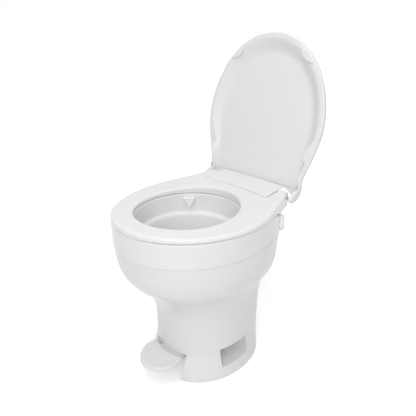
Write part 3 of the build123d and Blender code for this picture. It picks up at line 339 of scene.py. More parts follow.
def level_face(height: float, radius: float = 0.0) -> Height:
    """A plate's face at one height, with a quarter-round edge.

    Args:
        height: The height.
        radius: The edge's radius: positive where the edge turns down, negative where it turns up.

    Returns:
        A function of the plan's points and their distance from the edge.
    """

    def face(plan: Array, distance: Array) -> Array:
        """The height at each point."""
        return height - np.sign(radius) * rounded_drop(distance, abs(radius))

    return face


def unmoved(points: Array) -> Array:
    """The points as they are, for a plate whose plan lies level in the frame."""
    return points


def loop_distance(points: Array, loop: Array, closed: bool = True, chunk: int = 2000) -> Array:
    """Distance from each point to a polyline.

    Args:
        points: An (n, 2) array.
        loop: An (m, 2) array.
        closed: True where the last point joins the first.
        chunk: How many points are worked out at once, to save memory.

    Returns:
        The n distances.
    """
    start = loop if closed else loop[:-1]
    end = np.roll(loop, -1, axis=0) if closed else loop[1:]
    along = end - start
    length = np.maximum((along**2).sum(axis=1), 1e-9)
    best = np.full(len(points), np.inf)
    for low in range(0, len(points), chunk):
        part = points[low : low + chunk, None, :] - start[None]
        share = np.clip((part * along[None]).sum(axis=2) / length[None], 0.0, 1.0)
        gap = part - share[..., None] * along[None]
        best[low : low + chunk] = np.sqrt((gap**2).sum(axis=2)).min(axis=1)
    return best


def edge_distance(points: Array, loops: Sequence[Array]) -> Array:
    """Distance from each point to the nearest of several closed loops."""
    return np.min([loop_distance(points, loop) for loop in loops], axis=0)


def inside_loop(points: Array, loop: Array) -> Array:
    """True for points inside a closed polyline, by counting the edges crossed to the right.

    Args:
        points: An (n, 2) array.
        loop: An (m, 2) array.

    Returns:
        The n answers.
    """
    start, end = loop, np.roll(loop, -1, axis=0)
    y = points[:, 1:2]
    crosses = (start[None, :, 1] > y) != (end[None, :, 1] > y)
    rise = np.where(end[:, 1] == start[:, 1], 1e-12, end[:, 1] - start[:, 1])
    at = start[None, :, 0] + (y - start[None, :, 1]) * ((end[:, 0] - start[:, 0]) / rise)[None]
    return (crosses & (points[:, 0:1] < at)).sum(axis=1) % 2 == 1


def in_plan(points: Array, loops: Sequence[Array]) -> Array:
    """True for points inside the first loop and outside the others.

    Args:
        points: An (n, 2) array.
        loops: The outer loop, then the holes.

    Returns:
        The n answers.
    """
    good = inside_loop(points, loops[0])
    for loop in loops[1:]:
        good &= ~inside_loop(points, loop)
    return good


def twice_area(loop: Array) -> float:
    """Twice a loop's area by the shoelace sum, positive where it runs anticlockwise."""
    after = np.roll(loop, -1, axis=0)
    return float(np.sum(loop[:, 0] * after[:, 1] - after[:, 0] * loop[:, 1]))


def even_loop(loop: Array, step: float, fewest: int = 12) -> Array:
    """A closed polyline walked in even steps, keeping its shape.

    Args:
        loop: An (m, 2) array.
        step: The wanted step.
        fewest: The smallest number of points.

    Returns:
        The new points.
    """
    closed = np.vstack([loop, loop[:1]])
    length = np.concatenate([[0.0], np.cumsum(np.hypot(*np.diff(closed, axis=0).T))])
    count = max(fewest, int(round(length[-1] / step)))
    places = np.linspace(0.0, length[-1], count, endpoint=False)
    return np.stack([np.interp(places, length, closed[:, axis]) for axis in (0, 1)], axis=1)


def rounded_polygon(corners: Sequence[tuple[float, float]], radius: float, steps: int = 6) -> Array:
    """A convex polygon with round corners: each corner gives an arc tangent to both its sides.

    Args:
        corners: Corners, anticlockwise.
        radius: Radius of the arcs.
        steps: Points in each arc.

    Returns:
        The closed loop.
    """
    points = np.array(corners, dtype=float)
    made = []
    for before, corner, after in zip(np.roll(points, 1, axis=0), points, np.roll(points, -1, axis=0)):
        back = (before - corner) / np.hypot(*(before - corner))
        ahead = (after - corner) / np.hypot(*(after - corner))
        half = np.arccos(np.clip(back @ ahead, -1.0, 1.0)) / 2.0
        middle = corner + (back + ahead) / np.hypot(*(back + ahead)) * radius / np.sin(half)
        first = np.arctan2(*(corner + back * radius / np.tan(half) - middle)[::-1])
        sweep = np.pi - 2.0 * half
        turn = first + np.linspace(0.0, sweep, steps)
        made.append(middle + radius * np.stack([np.cos(turn), np.sin(turn)], axis=1))
    return np.vstack(made)


@dataclass
class Plate:
    """A piece with a plan: its upper and lower faces are heights over the plan.

    The plan is one outer loop and any holes, walked in even steps. Rings of points follow each
    loop at the insets, a square grid fills the rest, and both faces share one triangulation.
    """

    name: str
    outer: Array
    upper: Height
    lower: Height
    insets: Sequence[float]
    step: float
    fill: float
    holes: Sequence[Array] = ()
    to_frame: Callable[[Array], Array] = unmoved
    ring_gap: float = 0.06
    edge_gap: float = 0.2
    fill_gap: float = 0.4

    def rings(self, loop: Array) -> Array:
        """Points of all the inset rings of a loop: each point moved along its normal, to both sides.

        Args:
            loop: A closed loop.

        Returns:
            The points of all rings.
        """
        along = np.roll(loop, -1, axis=0) - np.roll(loop, 1, axis=0)
        normal = np.stack([-along[:, 1], along[:, 0]], axis=1) / np.hypot(*along.T)[:, None]
        moved = [loop + side * inset * normal for inset in self.insets for side in (1.0, -1.0)]
        return np.vstack(moved)

    def plan_points(self, loops: Sequence[Array]) -> Array:
        """The plan's points: the loops, the ring points that keep their distance, and the grid inside them.

        Args:
            loops: The outer loop and the holes.

        Returns:
            The (n, 2) points, the loops first.
        """
        low, high = loops[0].min(axis=0), loops[0].max(axis=0)
        lines = [np.arange(low[axis], high[axis], self.fill) for axis in (0, 1)]
        grid = np.stack(np.meshgrid(*lines, indexing="ij"), axis=-1).reshape(-1, 2)
        rings = np.vstack([self.rings(loop) for loop in loops])
        wanted = np.vstack([rings, grid])
        distance = edge_distance(wanted, loops)
        off_ring = np.abs(distance[:, None] - np.array([0.0, *self.insets])).min(axis=1)
        on_ring = (off_ring < self.ring_gap) & (distance > self.edge_gap)
        clear = distance > self.insets[-1] + self.fill * self.fill_gap
        good = in_plan(wanted, loops) & np.where(np.arange(len(wanted)) < len(rings), on_ring, clear)
        return np.vstack([*loops, wanted[good]])

    def walls(self, flat: Array, rings: Sequence[Array]) -> list[Array]:
        """Quads that join the upper face to the lower one along each loop, facing outwards.

        Args:
            flat: The plan's points.
            rings: Point numbers of each loop, the outer loop first.

        Returns:
            The quads of each loop.
        """
        made = []
        for ring in rings:
            after = np.roll(ring, -1)
            if (twice_area(flat[ring]) > 0) != (ring is rings[0]):
                ring, after = after, ring
            made.append(np.stack([after, after + len(flat), ring + len(flat), ring], axis=1))
        return made

    def build(self) -> bpy.types.Object:
        """Builds the closed mesh.

        Returns:
            The object.
        """
        loops = [even_loop(loop, self.step) for loop in (self.outer, *self.holes)]
        points = self.plan_points(loops)
        cuts = np.cumsum([0, *[len(loop) for loop in loops]])
        rings = [np.arange(start, end) for start, end in zip(cuts[:-1], cuts[1:])]
        edges = [pair for ring in rings for pair in zip(ring.tolist(), np.roll(ring, -1).tolist())]
        vertices = [Vector(point) for point in points.tolist()]
        vertices, _, cells, sources, _, _ = delaunay_2d_cdt(vertices, edges, [], 0, 1e-6, True)
        flat = np.array([tuple(vertex) for vertex in vertices])
        triangles = np.array([cell for cell in cells if len(cell) == 3])
        triangles = triangles[in_plan(flat[triangles].mean(axis=1), loops)]
        corner = flat[triangles]
        area = np.cross(corner[:, 1] - corner[:, 0], corner[:, 2] - corner[:, 0])
        triangles = np.where((area > 0)[:, None], triangles, triangles[:, ::-1])
        found = {source: number for number, group in enumerate(sources) for source in group}
        rings = [np.array([found[number] for number in ring.tolist()]) for ring in rings]
        distance = edge_distance(flat, loops)
        upper = np.column_stack([flat, self.upper(flat, distance)])
        lower = np.column_stack([flat, self.lower(flat, distance)])
        faces = [triangles, triangles[:, ::-1] + len(flat), *self.walls(flat, rings)]
        return mesh_object(self.name, self.to_frame(np.vstack([upper, lower])), faces)


@dataclass
class Lathe:
    """A turned piece: a profile of (radius, along) carried round an axis."""

    name: str
    origin: Sequence[float]
    axis: Sequence[float]
    profile: Sequence[tuple[float, float]]
    columns: int = 48
    pole: float = 1e-6

    def build(self) -> bpy.types.Object:
        """Builds the surface; a profile that starts or ends at radius 0 closes there at its pole.

        Returns:
            The object.
        """
        origin = np.array(self.origin)
        axis = np.array(self.axis) / np.linalg.norm(self.axis)
        side = np.cross(axis, [0.0, 0.0, 1.0] if abs(axis[2]) < 0.9 else [1.0, 0.0, 0.0])
        side = side / np.linalg.norm(side)
        turn = np.linspace(0.0, 2 * np.pi, self.columns, endpoint=False)
        ring = np.cos(turn)[:, None] * side + np.sin(turn)[:, None] * np.cross(axis, side)
        profile = np.array(self.profile)
        body = profile[profile[:, 0] > self.pole]
        points = [(origin + body[:, None, :1] * ring[None] + body[:, None, 1:] * axis).reshape(-1, 3)]
        numbers = grid_numbers(len(body), self.columns)
        faces = [quads_of(numbers, wrap=True).reshape(-1, 4)]
        count = numbers.size
        for end, order in ((0, -1), (-1, 1)):
            if profile[end, 0] > self.pole:
                continue
            pair = (numbers[end], np.roll(numbers[end], -1))[::order]
            points.append((origin + profile[end, 1] * axis)[None])
            faces.append(np.stack([*pair, np.full(self.columns, count)], axis=1))
            count += 1
        return mesh_object(self.name, np.vstack(points), faces)


def rod(
    name: str, origin: Sequence[float], axis: Sequence[float], radius: float, length: float
) -> bpy.types.Object:
    """Builds a plain round rod from an origin along an axis."""
    profile = [(0.0, 0.0), (radius, 0.0), (radius, length), (0.0, length)]
    return Lathe(name, origin, axis, profile).build()


@dataclass
class Hull:
    """Plan outlines of the body: two half superellipses about a centre, with slightly drawn-in rear flanks.

    At a turn t the outline is x = a·|cos t|^(2/n) and y = centre ± reach·|sin t|^(2/n).
    """

    front_square: float = 2.06
    rear_square: float = 2.2
    flank_drop: float = 5.2
    flank_length: float = 147.0

    def turn_at_along(self, gap: Array, reach: Array, square: float) -> Array:
        """The turn whose point is a gap away from the centre along Y: asin((gap / reach)^(n/2))."""
        return np.arcsin(np.clip(gap / reach, 0.0, 1.0) ** (square / 2.0))

    def points(
        self, turn: Array, wide: Array, front: Array, rear: Array, centre: Array, drop: Array
    ) -> Array:
        """Points of the outline.

        Args:
            turn: Turns in radians, from +X towards +Y.
            wide: Half-width at each point.
            front: Reach ahead of the drain's axis.
            rear: Reach behind it.
            centre: Y of the widest place.
            drop: How far the rear flanks are drawn in.

        Returns:
            The points as (..., 2).
        """
        across, along = np.cos(turn), np.sin(turn)
        behind = along > 0
        square = np.where(behind, self.rear_square, self.front_square)
        reach = np.where(behind, rear - centre, front + centre)
        x = wide * np.abs(across) ** (2.0 / square)
        rise = reach * np.abs(along) ** (2.0 / square)
        bend = np.sin(np.pi * rise / self.flank_length) ** 2
        x = x - drop * np.where(behind & (rise < self.flank_length), bend, 0.0)
        return np.stack([np.where(across >= 0, x, -x), centre + np.where(behind, rise, -rise)], axis=-1)


@dataclass
class Pedestal:
    """The flared shell with its two bolt niches and the pedal's notch.

    The columns of the shares give the half-width and the front and rear reach at each level.
    """

    height: float = 367.6
    half_width: float = 187.5
    front: float = 224.0
    rear: float = 195.0
    centre: float = -12.0
    niche_half: float = 45.4
    niche_low: float = 29.8
    niche_high: float = 82.4
    niche_depth_x: float = 61.0
    niche_rows: int = 5
    notch_half: float = 57.8
    notch_top: float = 68.0
    wall: float = 3.4
    edge: float = 1.4
    edge_steps: int = 3
    edge_angle: float = 38.0
    foot_lift: float = 0.6
    top_gap: float = 0.4
    row_steps: Sequence[int] = (5, 7, 3, 73)
    column_counts: Sequence[int] = (28, 34, 34, 28, 16, 26, 16)
    shares: Sequence[Sequence[float]] = (
        (0.0, 0.7253, 0.6518, 0.7897),
        (0.185, 0.6560, 0.5536, 0.8359),
        (0.330, 0.6510, 0.5490, 0.86),
        (0.450, 0.6510, 0.5620, 0.8790),
        (0.5386, 0.6720, 0.6049, 0.9026),
        (0.6012, 0.7147, 0.6652, 0.9231),
        (0.6638, 0.7787, 0.7384, 0.9436),
        (0.7345, 0.8827, 0.8585, 0.9538),
        (0.7916, 0.9440, 0.9254, 0.9615),
        (0.8705, 0.9840, 0.9732, 0.9692),
        (1.0, 1.0, 1.0, 1.0),
    )
    hull: Hull = field(default_factory=Hull)

    def share_at(self, level: Array, column: int) -> Array:
        """One column of the shares at any level: straight at the foot, then a cubic without overshoot.

        At each inner level the cubic's slope is the weighted harmonic mean of the slopes on both
        sides, or 0 where these have different signs.

        Args:
            level: Levels, from 0 at the floor to 1 at the top.
            column: 1 for the width, 2 for the front and 3 for the rear.

        Returns:
            The shares.
        """
        table = np.array(self.shares)
        x, y = table[:, 0], table[:, column]
        gap, slope = np.diff(x), np.diff(y) / np.diff(x)
        before, after = slope[1:-1], slope[2:]
        gap_before, gap_after = gap[1:-1], gap[2:]
        with np.errstate(divide="ignore", invalid="ignore"):
            weight = (2 * gap_after + gap_before) / before + (gap_after + 2 * gap_before) / after
            inner = np.where(before * after > 0, 3 * (gap_before + gap_after) / weight, 0.0)
        bend = np.concatenate([[slope[0], slope[1]], inner, [slope[-1]]])
        straight = y[0] + (level - x[0]) / gap[0] * (y[1] - y[0])
        return np.where(level < x[1], straight, cubic_through(level, x, y, bend))

    def turns(self, wide: Array, front: Array, rear: Array, centre: Array) -> tuple[Array, Array]:
        """Turns of every column at every row, so that columns run along the niches' and the notch's edges.

        Args:
            wide: Half-width of each row.
            front: Front reach of each row.
            rear: Rear reach of each row.
            centre: Centre of each row.

        Returns:
            The (rows, columns) turns, and the first column of each stretch between two edges.
        """
        hull = self.hull
        back = hull.turn_at_along(self.niche_half - centre, rear - centre, hull.rear_square)
        ahead = hull.turn_at_along(self.niche_half + centre, front + centre, hull.front_square)
        notch = hull.turn_at_along(self.notch_half, wide, hull.front_square)
        quarter = np.full_like(back, np.pi / 2)
        edges = [
            -ahead,
            back,
            quarter,
            2 * quarter - back,
            2 * quarter + ahead,
            3 * quarter - notch,
            3 * quarter + notch,
            4 * quarter - ahead,
        ]
        stretches = []
        for start, end, count in zip(edges[:-1], edges[1:], self.column_counts):
            share = np.linspace(0.0, 1.0, count, endpoint=False)
            stretches.append(start[:, None] * (1 - share) + end[:, None] * share)
        return np.concatenate(stretches, axis=1), np.cumsum([0, *self.column_counts])

    def niche(self, points: Array, numbers: Array, side: int, first: int) -> tuple[list[Array], list[Array]]:
        """One bolt niche: walls from the rim of its mouth to a flat back, and the back.

        Args:
            points: The (rows, columns, 3) points of the shell over the mouth, with its rim.
            numbers: Their point numbers.
            side: 1 for the right niche and -1 for the left one.
            first: Number of the first new point.

        Returns:
            The new points, and the new faces.
        """
        depth = side * self.niche_depth_x
        rim, ring = border(numbers), border(points)
        share = np.linspace(0.0, 1.0, self.niche_rows + 1)[1:, None]
        inner = np.repeat(ring[None], self.niche_rows, axis=0)
        inner[..., 0] = ring[:, 0] * (1 - share) + depth * share
        rows = np.vstack([rim, first + grid_numbers(self.niche_rows, len(rim))])
        back = points.copy()
        back[..., 0] = depth
        back_numbers = np.full(numbers.size, -1)
        back_numbers[border(grid_numbers(*numbers.shape))] = rows[-1]
        free = back_numbers < 0
        back_numbers[free] = first + self.niche_rows * len(rim) + np.arange(free.sum())
        faces = [quads_of(rows, wrap=True), quads_of(back_numbers.reshape(numbers.shape))]
        return [inner.reshape(-1, 3), back.reshape(-1, 3)[free]], [block.reshape(-1, 4) for block in faces]

    def build(self) -> bpy.types.Object:
        """Builds the shell as one sheet with its niches, thickened inwards and rounded at its edges.

        Returns:
            The object.
        """
        marks = (self.foot_lift, self.niche_low, self.notch_top, self.niche_high, self.height - self.top_gap)
        runs = zip(marks[:-1], marks[1:], self.row_steps)
        z = np.concatenate([[self.foot_lift], *[np.linspace(low, high, n + 1)[1:] for low, high, n in runs]])
        niche_row, notch_row, top_row = np.cumsum(self.row_steps)[:3]
        level = z / self.height
        wide, front, rear = (
            full * self.share_at(level, column)
            for column, full in enumerate((self.half_width, self.front, self.rear), start=1)
        )
        centre = self.centre * level
        turn, firsts = self.turns(wide, front, rear, centre)
        drop = self.hull.flank_drop * level**6
        plan = self.hull.points(turn, *[value[:, None] for value in (wide, front, rear, centre, drop)])
        heights = np.broadcast_to(z[:, None, None], (*turn.shape, 1))
        points = np.concatenate([plan, heights], axis=2)
        numbers = grid_numbers(*turn.shape)
        keep = np.ones((len(z) - 1, turn.shape[1]), dtype=bool)
        keep[:notch_row, firsts[5] : firsts[6]] = False
        flat, blocks, count = [points.reshape(-1, 3)], [], numbers.size
        for side, stretch in ((1, 0), (-1, 3)):
            start, end = firsts[stretch], firsts[stretch + 1]
            keep[niche_row:top_row, start:end] = False
            mouth = np.s_[niche_row : top_row + 1, start : end + 1]
            more, faces = self.niche(points[mouth], numbers[mouth], side, count)
            flat += more
            blocks += faces
            count += sum(len(part) for part in more)
        blocks = [quads_of(numbers, wrap=True)[keep], *blocks]
        obj = mesh_object("pedestal_shell", np.vstack(flat), blocks)
        thick = obj.modifiers.new("wall", "SOLIDIFY")
        thick.thickness = self.wall * MM
        thick.offset = -1.0
        bevel = obj.modifiers.new("edge_round", "BEVEL")
        bevel.width = self.edge * MM
        bevel.segments = self.edge_steps
        bevel.limit_method = "ANGLE"
        bevel.angle_limit = np.radians(self.edge_angle)
        bevel.harden_normals = True
        return obj


@dataclass
class Bowl:
    """The rim band, its deck and the inner bowl as one surface: a profile carried round the body.

    The columns of the funnel's shares give its half-width, its half-length and the Y of its
    middle at each level, from the throat at 0 to the ledge at 1.
    """

    half_width: float = 188.35
    front: float = 225.55
    rear: float = 195.85
    centre: float = -12.0
    bottom: float = 367.6
    top: float = 426.9
    edge: float = 2.5
    skirt_rises: Sequence[float] = (20.0, 0.3)
    skirt_inset: float = 9.0
    foot_inset: float = 3.0
    wall_margin: float = 5.0
    opening_wide: float = 121.0
    opening_long: float = 128.0
    opening_centre: float = -44.0
    lip: float = 3.0
    ledge: float = 372.0
    ledge_tilt: float = 5.0
    ledge_turn: float = 170.0
    ledge_round: float = 2.5
    ledge_profile: Sequence[tuple[float, float]] = ((-0.9, 0.8), (-2.8, 0.0), (-8.0, -0.8))
    throat: float = 188.0
    throat_radius: float = 36.0
    funnel_wide: float = 111.0
    funnel_long: float = 118.0
    funnel_top: float = 0.985
    funnel_drop: float = 2.0
    tilt_start: float = 0.8
    funnel_shares: Sequence[Sequence[float]] = (
        (0.092, 0.365, 0.345, 0.09),
        (0.255, 0.52, 0.49, 0.4),
        (0.5, 0.745, 0.72, 0.78),
        (0.77, 0.93, 0.91, 0.96),
        (1.0, 1.0, 1.0, 1.0),
    )
    ear_side: float = 107.5
    ear_front: float = 96.0
    ear_floor: float = 418.0
    ear_blend: tuple[float, float] = (0.3, 3.0)
    tail_start: float = 168.0
    tail_height: float = 402.0
    tail_slope: float = 0.3
    tail_blend: tuple[float, float] = (2.5, 0.2)
    columns: int = 288
    wall_rows: int = 22
    deck_rows: int = 40
    inner_rows: int = 12
    funnel_rows: int = 44
    hull: Hull = field(default_factory=Hull)

    @property
    def turn(self) -> Array:
        """The turn of each column."""
        return np.linspace(0.0, 2 * np.pi, self.columns, endpoint=False)

    def ceiling(self, x: Array, y: Array) -> Array:
        """The height that no row may pass: lowered corners under the ears and a slope at the tail.

        Args:
            x: X of the points.
            y: Y of the points.

        Returns:
            The greatest heights.
        """
        near, far = self.ear_blend
        corner = smoothstep(np.abs(x), self.ear_side + near, self.ear_side + far)
        corner = corner * smoothstep(y, self.ear_front + near, self.ear_front + far)
        height = self.top - (self.top - self.ear_floor) * corner
        tail = self.tail_height - self.tail_slope * (y - self.tail_start)
        start, end = (self.tail_start - length for length in self.tail_blend)
        share = smoothstep(y, start, end)
        return np.where(y > start, height * (1 - share) + np.minimum(height, tail) * share, height)

    def outline(self, inset: float) -> Array:
        """The band's outline, drawn in all round.

        Args:
            inset: How far it is drawn in.

        Returns:
            One point for each column.
        """
        reaches = [length - inset for length in (self.half_width, self.front, self.rear)]
        values = (*reaches, self.centre, self.hull.flank_drop)
        return self.hull.points(self.turn, *[np.full(self.columns, value) for value in values])

    def oval(self, wide: float, long: float, centre: float) -> Array:
        """An ellipse of half-width and half-length about a place on Y."""
        return np.stack([wide * np.cos(self.turn), centre + long * np.sin(self.turn)], axis=1)

    def opening(self, out: float) -> Array:
        """The opening's ellipse, made larger all round."""
        return self.oval(self.opening_wide + out, self.opening_long + out, self.opening_centre)

    def band(self) -> list[tuple[Array, Array | float]]:
        """Rows of the band: a skirt inside, the rounded lower edge, the wall and the rounded upper edge.

        Returns:
            The plan and the height of each row.
        """
        rows = [(self.outline(self.skirt_inset), self.bottom + rise) for rise in self.skirt_rises]
        rows.append((self.outline(self.foot_inset), self.bottom))
        for angle in np.radians(np.linspace(0.0, 90.0, 7)):
            inset, rise = self.edge * (1 - np.sin(angle)), self.edge * (1 - np.cos(angle))
            rows.append((self.outline(inset), self.bottom + rise))
        low, high = self.bottom + self.wall_margin, self.top - self.wall_margin
        rows += [(self.outline(0.0), z) for z in np.linspace(low, high, self.wall_rows)]
        for angle in np.radians(np.linspace(0.0, 90.0, 8)):
            inset, drop = self.edge * (1 - np.cos(angle)), self.edge * (1 - np.sin(angle))
            rows.append((self.outline(inset), self.top - drop))
        return rows

    def deck(self) -> list[tuple[Array, Array | float]]:
        """Rows of the deck: straight from the band's edge to the opening's lip, and the lip's quarter round.

        Returns:
            The plan and the height of each row.
        """
        start, end = self.outline(self.edge), self.opening(self.lip)
        shares = np.linspace(0.02, 1.0, self.deck_rows)
        rows = [(start * (1 - share) + end * share, self.top) for share in shares]
        for angle in np.radians(np.linspace(15.0, 90.0, 6)):
            out, drop = self.lip * (1 - np.sin(angle)), self.lip * (1 - np.cos(angle))
            rows.append((self.opening(out), self.top - drop))
        return rows

    def inside(self) -> list[tuple[Array, Array | float]]:
        """Rows of the inner bowl: its wall, the ledge and the funnel down to the throat.

        The ledge's height is ledge + tilt·cos(turn - highest turn): it is highest at the left,
        where the water runs off the nozzle. The funnel's top follows it.

        Returns:
            The plan and the height of each row.
        """
        ledge = self.ledge + self.ledge_tilt * np.cos(self.turn - np.radians(self.ledge_turn))
        wall_top = self.top - self.lip
        rows = [
            (self.opening(0.0), wall_top * (1 - share) + (ledge + self.ledge_round) * share)
            for share in np.linspace(0.1, 1.0, self.inner_rows)
        ]
        rows += [(self.opening(out), ledge + rise) for out, rise in self.ledge_profile]
        bottom = (0.0, self.throat_radius / self.funnel_wide, self.throat_radius / self.funnel_long, 0.0)
        shares = np.array([bottom, *self.funnel_shares])
        sizes = shares[:, 1:] * [self.funnel_wide, self.funnel_long, self.opening_centre]
        for level in np.linspace(self.funnel_top, 0.0, self.funnel_rows):
            values = [np.interp(level, shares[:, 0], column) for column in sizes.T]
            tilt = (ledge - self.ledge - self.funnel_drop) * smoothstep(level, self.tilt_start, 1.0)
            rows.append((self.oval(*values), self.throat + level * (self.ledge - self.throat) + tilt))
        return rows

    def build(self) -> bpy.types.Object:
        """Builds the surface.

        Returns:
            The object.
        """
        rows = [
            np.column_stack([plan, np.minimum(height, self.ceiling(plan[:, 0], plan[:, 1]))])
            for plan, height in (*self.band(), *self.deck(), *self.inside())
        ]
        faces = quads_of(grid_numbers(len(rows), self.columns), wrap=True).reshape(-1, 4)
        return mesh_object("bowl_surface", np.vstack(rows), [faces], sharp=50.0)


@dataclass
class SeatRing:
    """The seat: an oval ring with two ears at the hinge and a cut-out round the hinge cover."""

    half_width: float = 189.5
    reach: float = 214.7
    centre: float = -12.0
    flank_radius: float = 195.0
    flank_end: tuple[float, float] = (177.7, 54.8)
    ear: tuple[float, float] = (135.2, 171.3)
    ear_round: float = 8.0
    ear_inner: float = 109.5
    cut_side: float = 113.5
    cut_middle: float = 122.0
    hole: tuple[float, float] = (122.5, 129.6)
    hole_centre: float = -44.1
    crest_front: float = 442.6
    crest_dip: float = 28.48
    crest_rise: float = 49.48
    crest_start: float = -237.0
    crest_length: float = 430.0
    bottom: float = 428.4
    ear_bottom: float = 422.0
    ear_front: float = 100.0
    ear_blend: float = 2.5
    upper_edge: float = 6.0
    lower_edge: float = 1.2

    def outline(self) -> Array:
        """The outline: half an ellipse, two flank arcs, straight runs to the ears and the cut-out's bow.

        Returns:
            The closed loop.
        """
        turn = np.linspace(np.pi, 2 * np.pi, 120)
        front = np.stack([self.half_width * np.cos(turn), self.centre + self.reach * np.sin(turn)], axis=1)
        half = np.arcsin((self.flank_end[1] - self.centre) / self.flank_radius)
        turn = np.linspace(0.0, half, 16)[1:]
        x = self.half_width - self.flank_radius + self.flank_radius * np.cos(turn)
        flank = np.stack([x, self.centre + self.flank_radius * np.sin(turn)], axis=1)
        corner = np.array(self.ear)
        back = (flank[-1] - corner) / np.hypot(*(flank[-1] - corner))
        ahead = np.array([-1.0, 0.0])
        opening = np.arccos(back @ ahead) / 2.0
        middle = corner + (back + ahead) / np.hypot(*(back + ahead)) * self.ear_round / np.sin(opening)
        first = corner + back * self.ear_round / np.tan(opening)
        turn = np.linspace(np.arctan2(*(first - middle)[::-1]), np.pi / 2, 8)
        ear = middle + self.ear_round * np.stack([np.cos(turn), np.sin(turn)], axis=1)
        across = np.linspace(self.ear_inner, 0.0, 24)
        bow = self.cut_side + (self.cut_middle - self.cut_side) * (1 - (across / self.ear_inner) ** 2)
        inner = np.array([[self.ear_inner, self.ear[1]]])
        right = np.vstack([flank, ear, inner, np.stack([across, bow], axis=1)])
        return np.vstack([front, right, right[-2::-1] * [-1.0, 1.0]])

    def upper(self, plan: Array, distance: Array) -> Array:
        """The top: front - dip·t + rise·t² along Y, with t = (y - start) / length, and a rounded edge.

        Args:
            plan: The plan's points.
            distance: Their distance from the edge.

        Returns:
            The heights.
        """
        share = (plan[:, 1] - self.crest_start) / self.crest_length
        crest = self.crest_front - self.crest_dip * share + self.crest_rise * share**2
        return crest - rounded_drop(distance, self.upper_edge)

    def lower(self, plan: Array, distance: Array) -> Array:
        """The underside, level, and lower under the ears.

        Args:
            plan: The plan's points.
            distance: Their distance from the edge.

        Returns:
            The heights.
        """
        ear = smoothstep(plan[:, 1], self.ear_front, self.ear_front + self.ear_blend)
        ear = ear * (np.abs(plan[:, 0]) > self.ear_inner - 0.1)
        return self.bottom - (self.bottom - self.ear_bottom) * ear + rounded_drop(distance, self.lower_edge)

    def build(self) -> bpy.types.Object:
        """Builds the ring.

        Returns:
            The object.
        """
        turn = np.linspace(0.0, 2 * np.pi, 160, endpoint=False)
        y = self.hole_centre + self.hole[1] * np.sin(turn)
        hole = np.stack([self.hole[0] * np.cos(turn), y], axis=1)
        return Plate(
            "seat_ring",
            self.outline(),
            self.upper,
            self.lower,
            insets=(0.25, 0.8, 1.7, 3.0, 4.5, 6.2, 8.5),
            step=4.0,
            fill=8.0,
            holes=[hole],
        ).build()


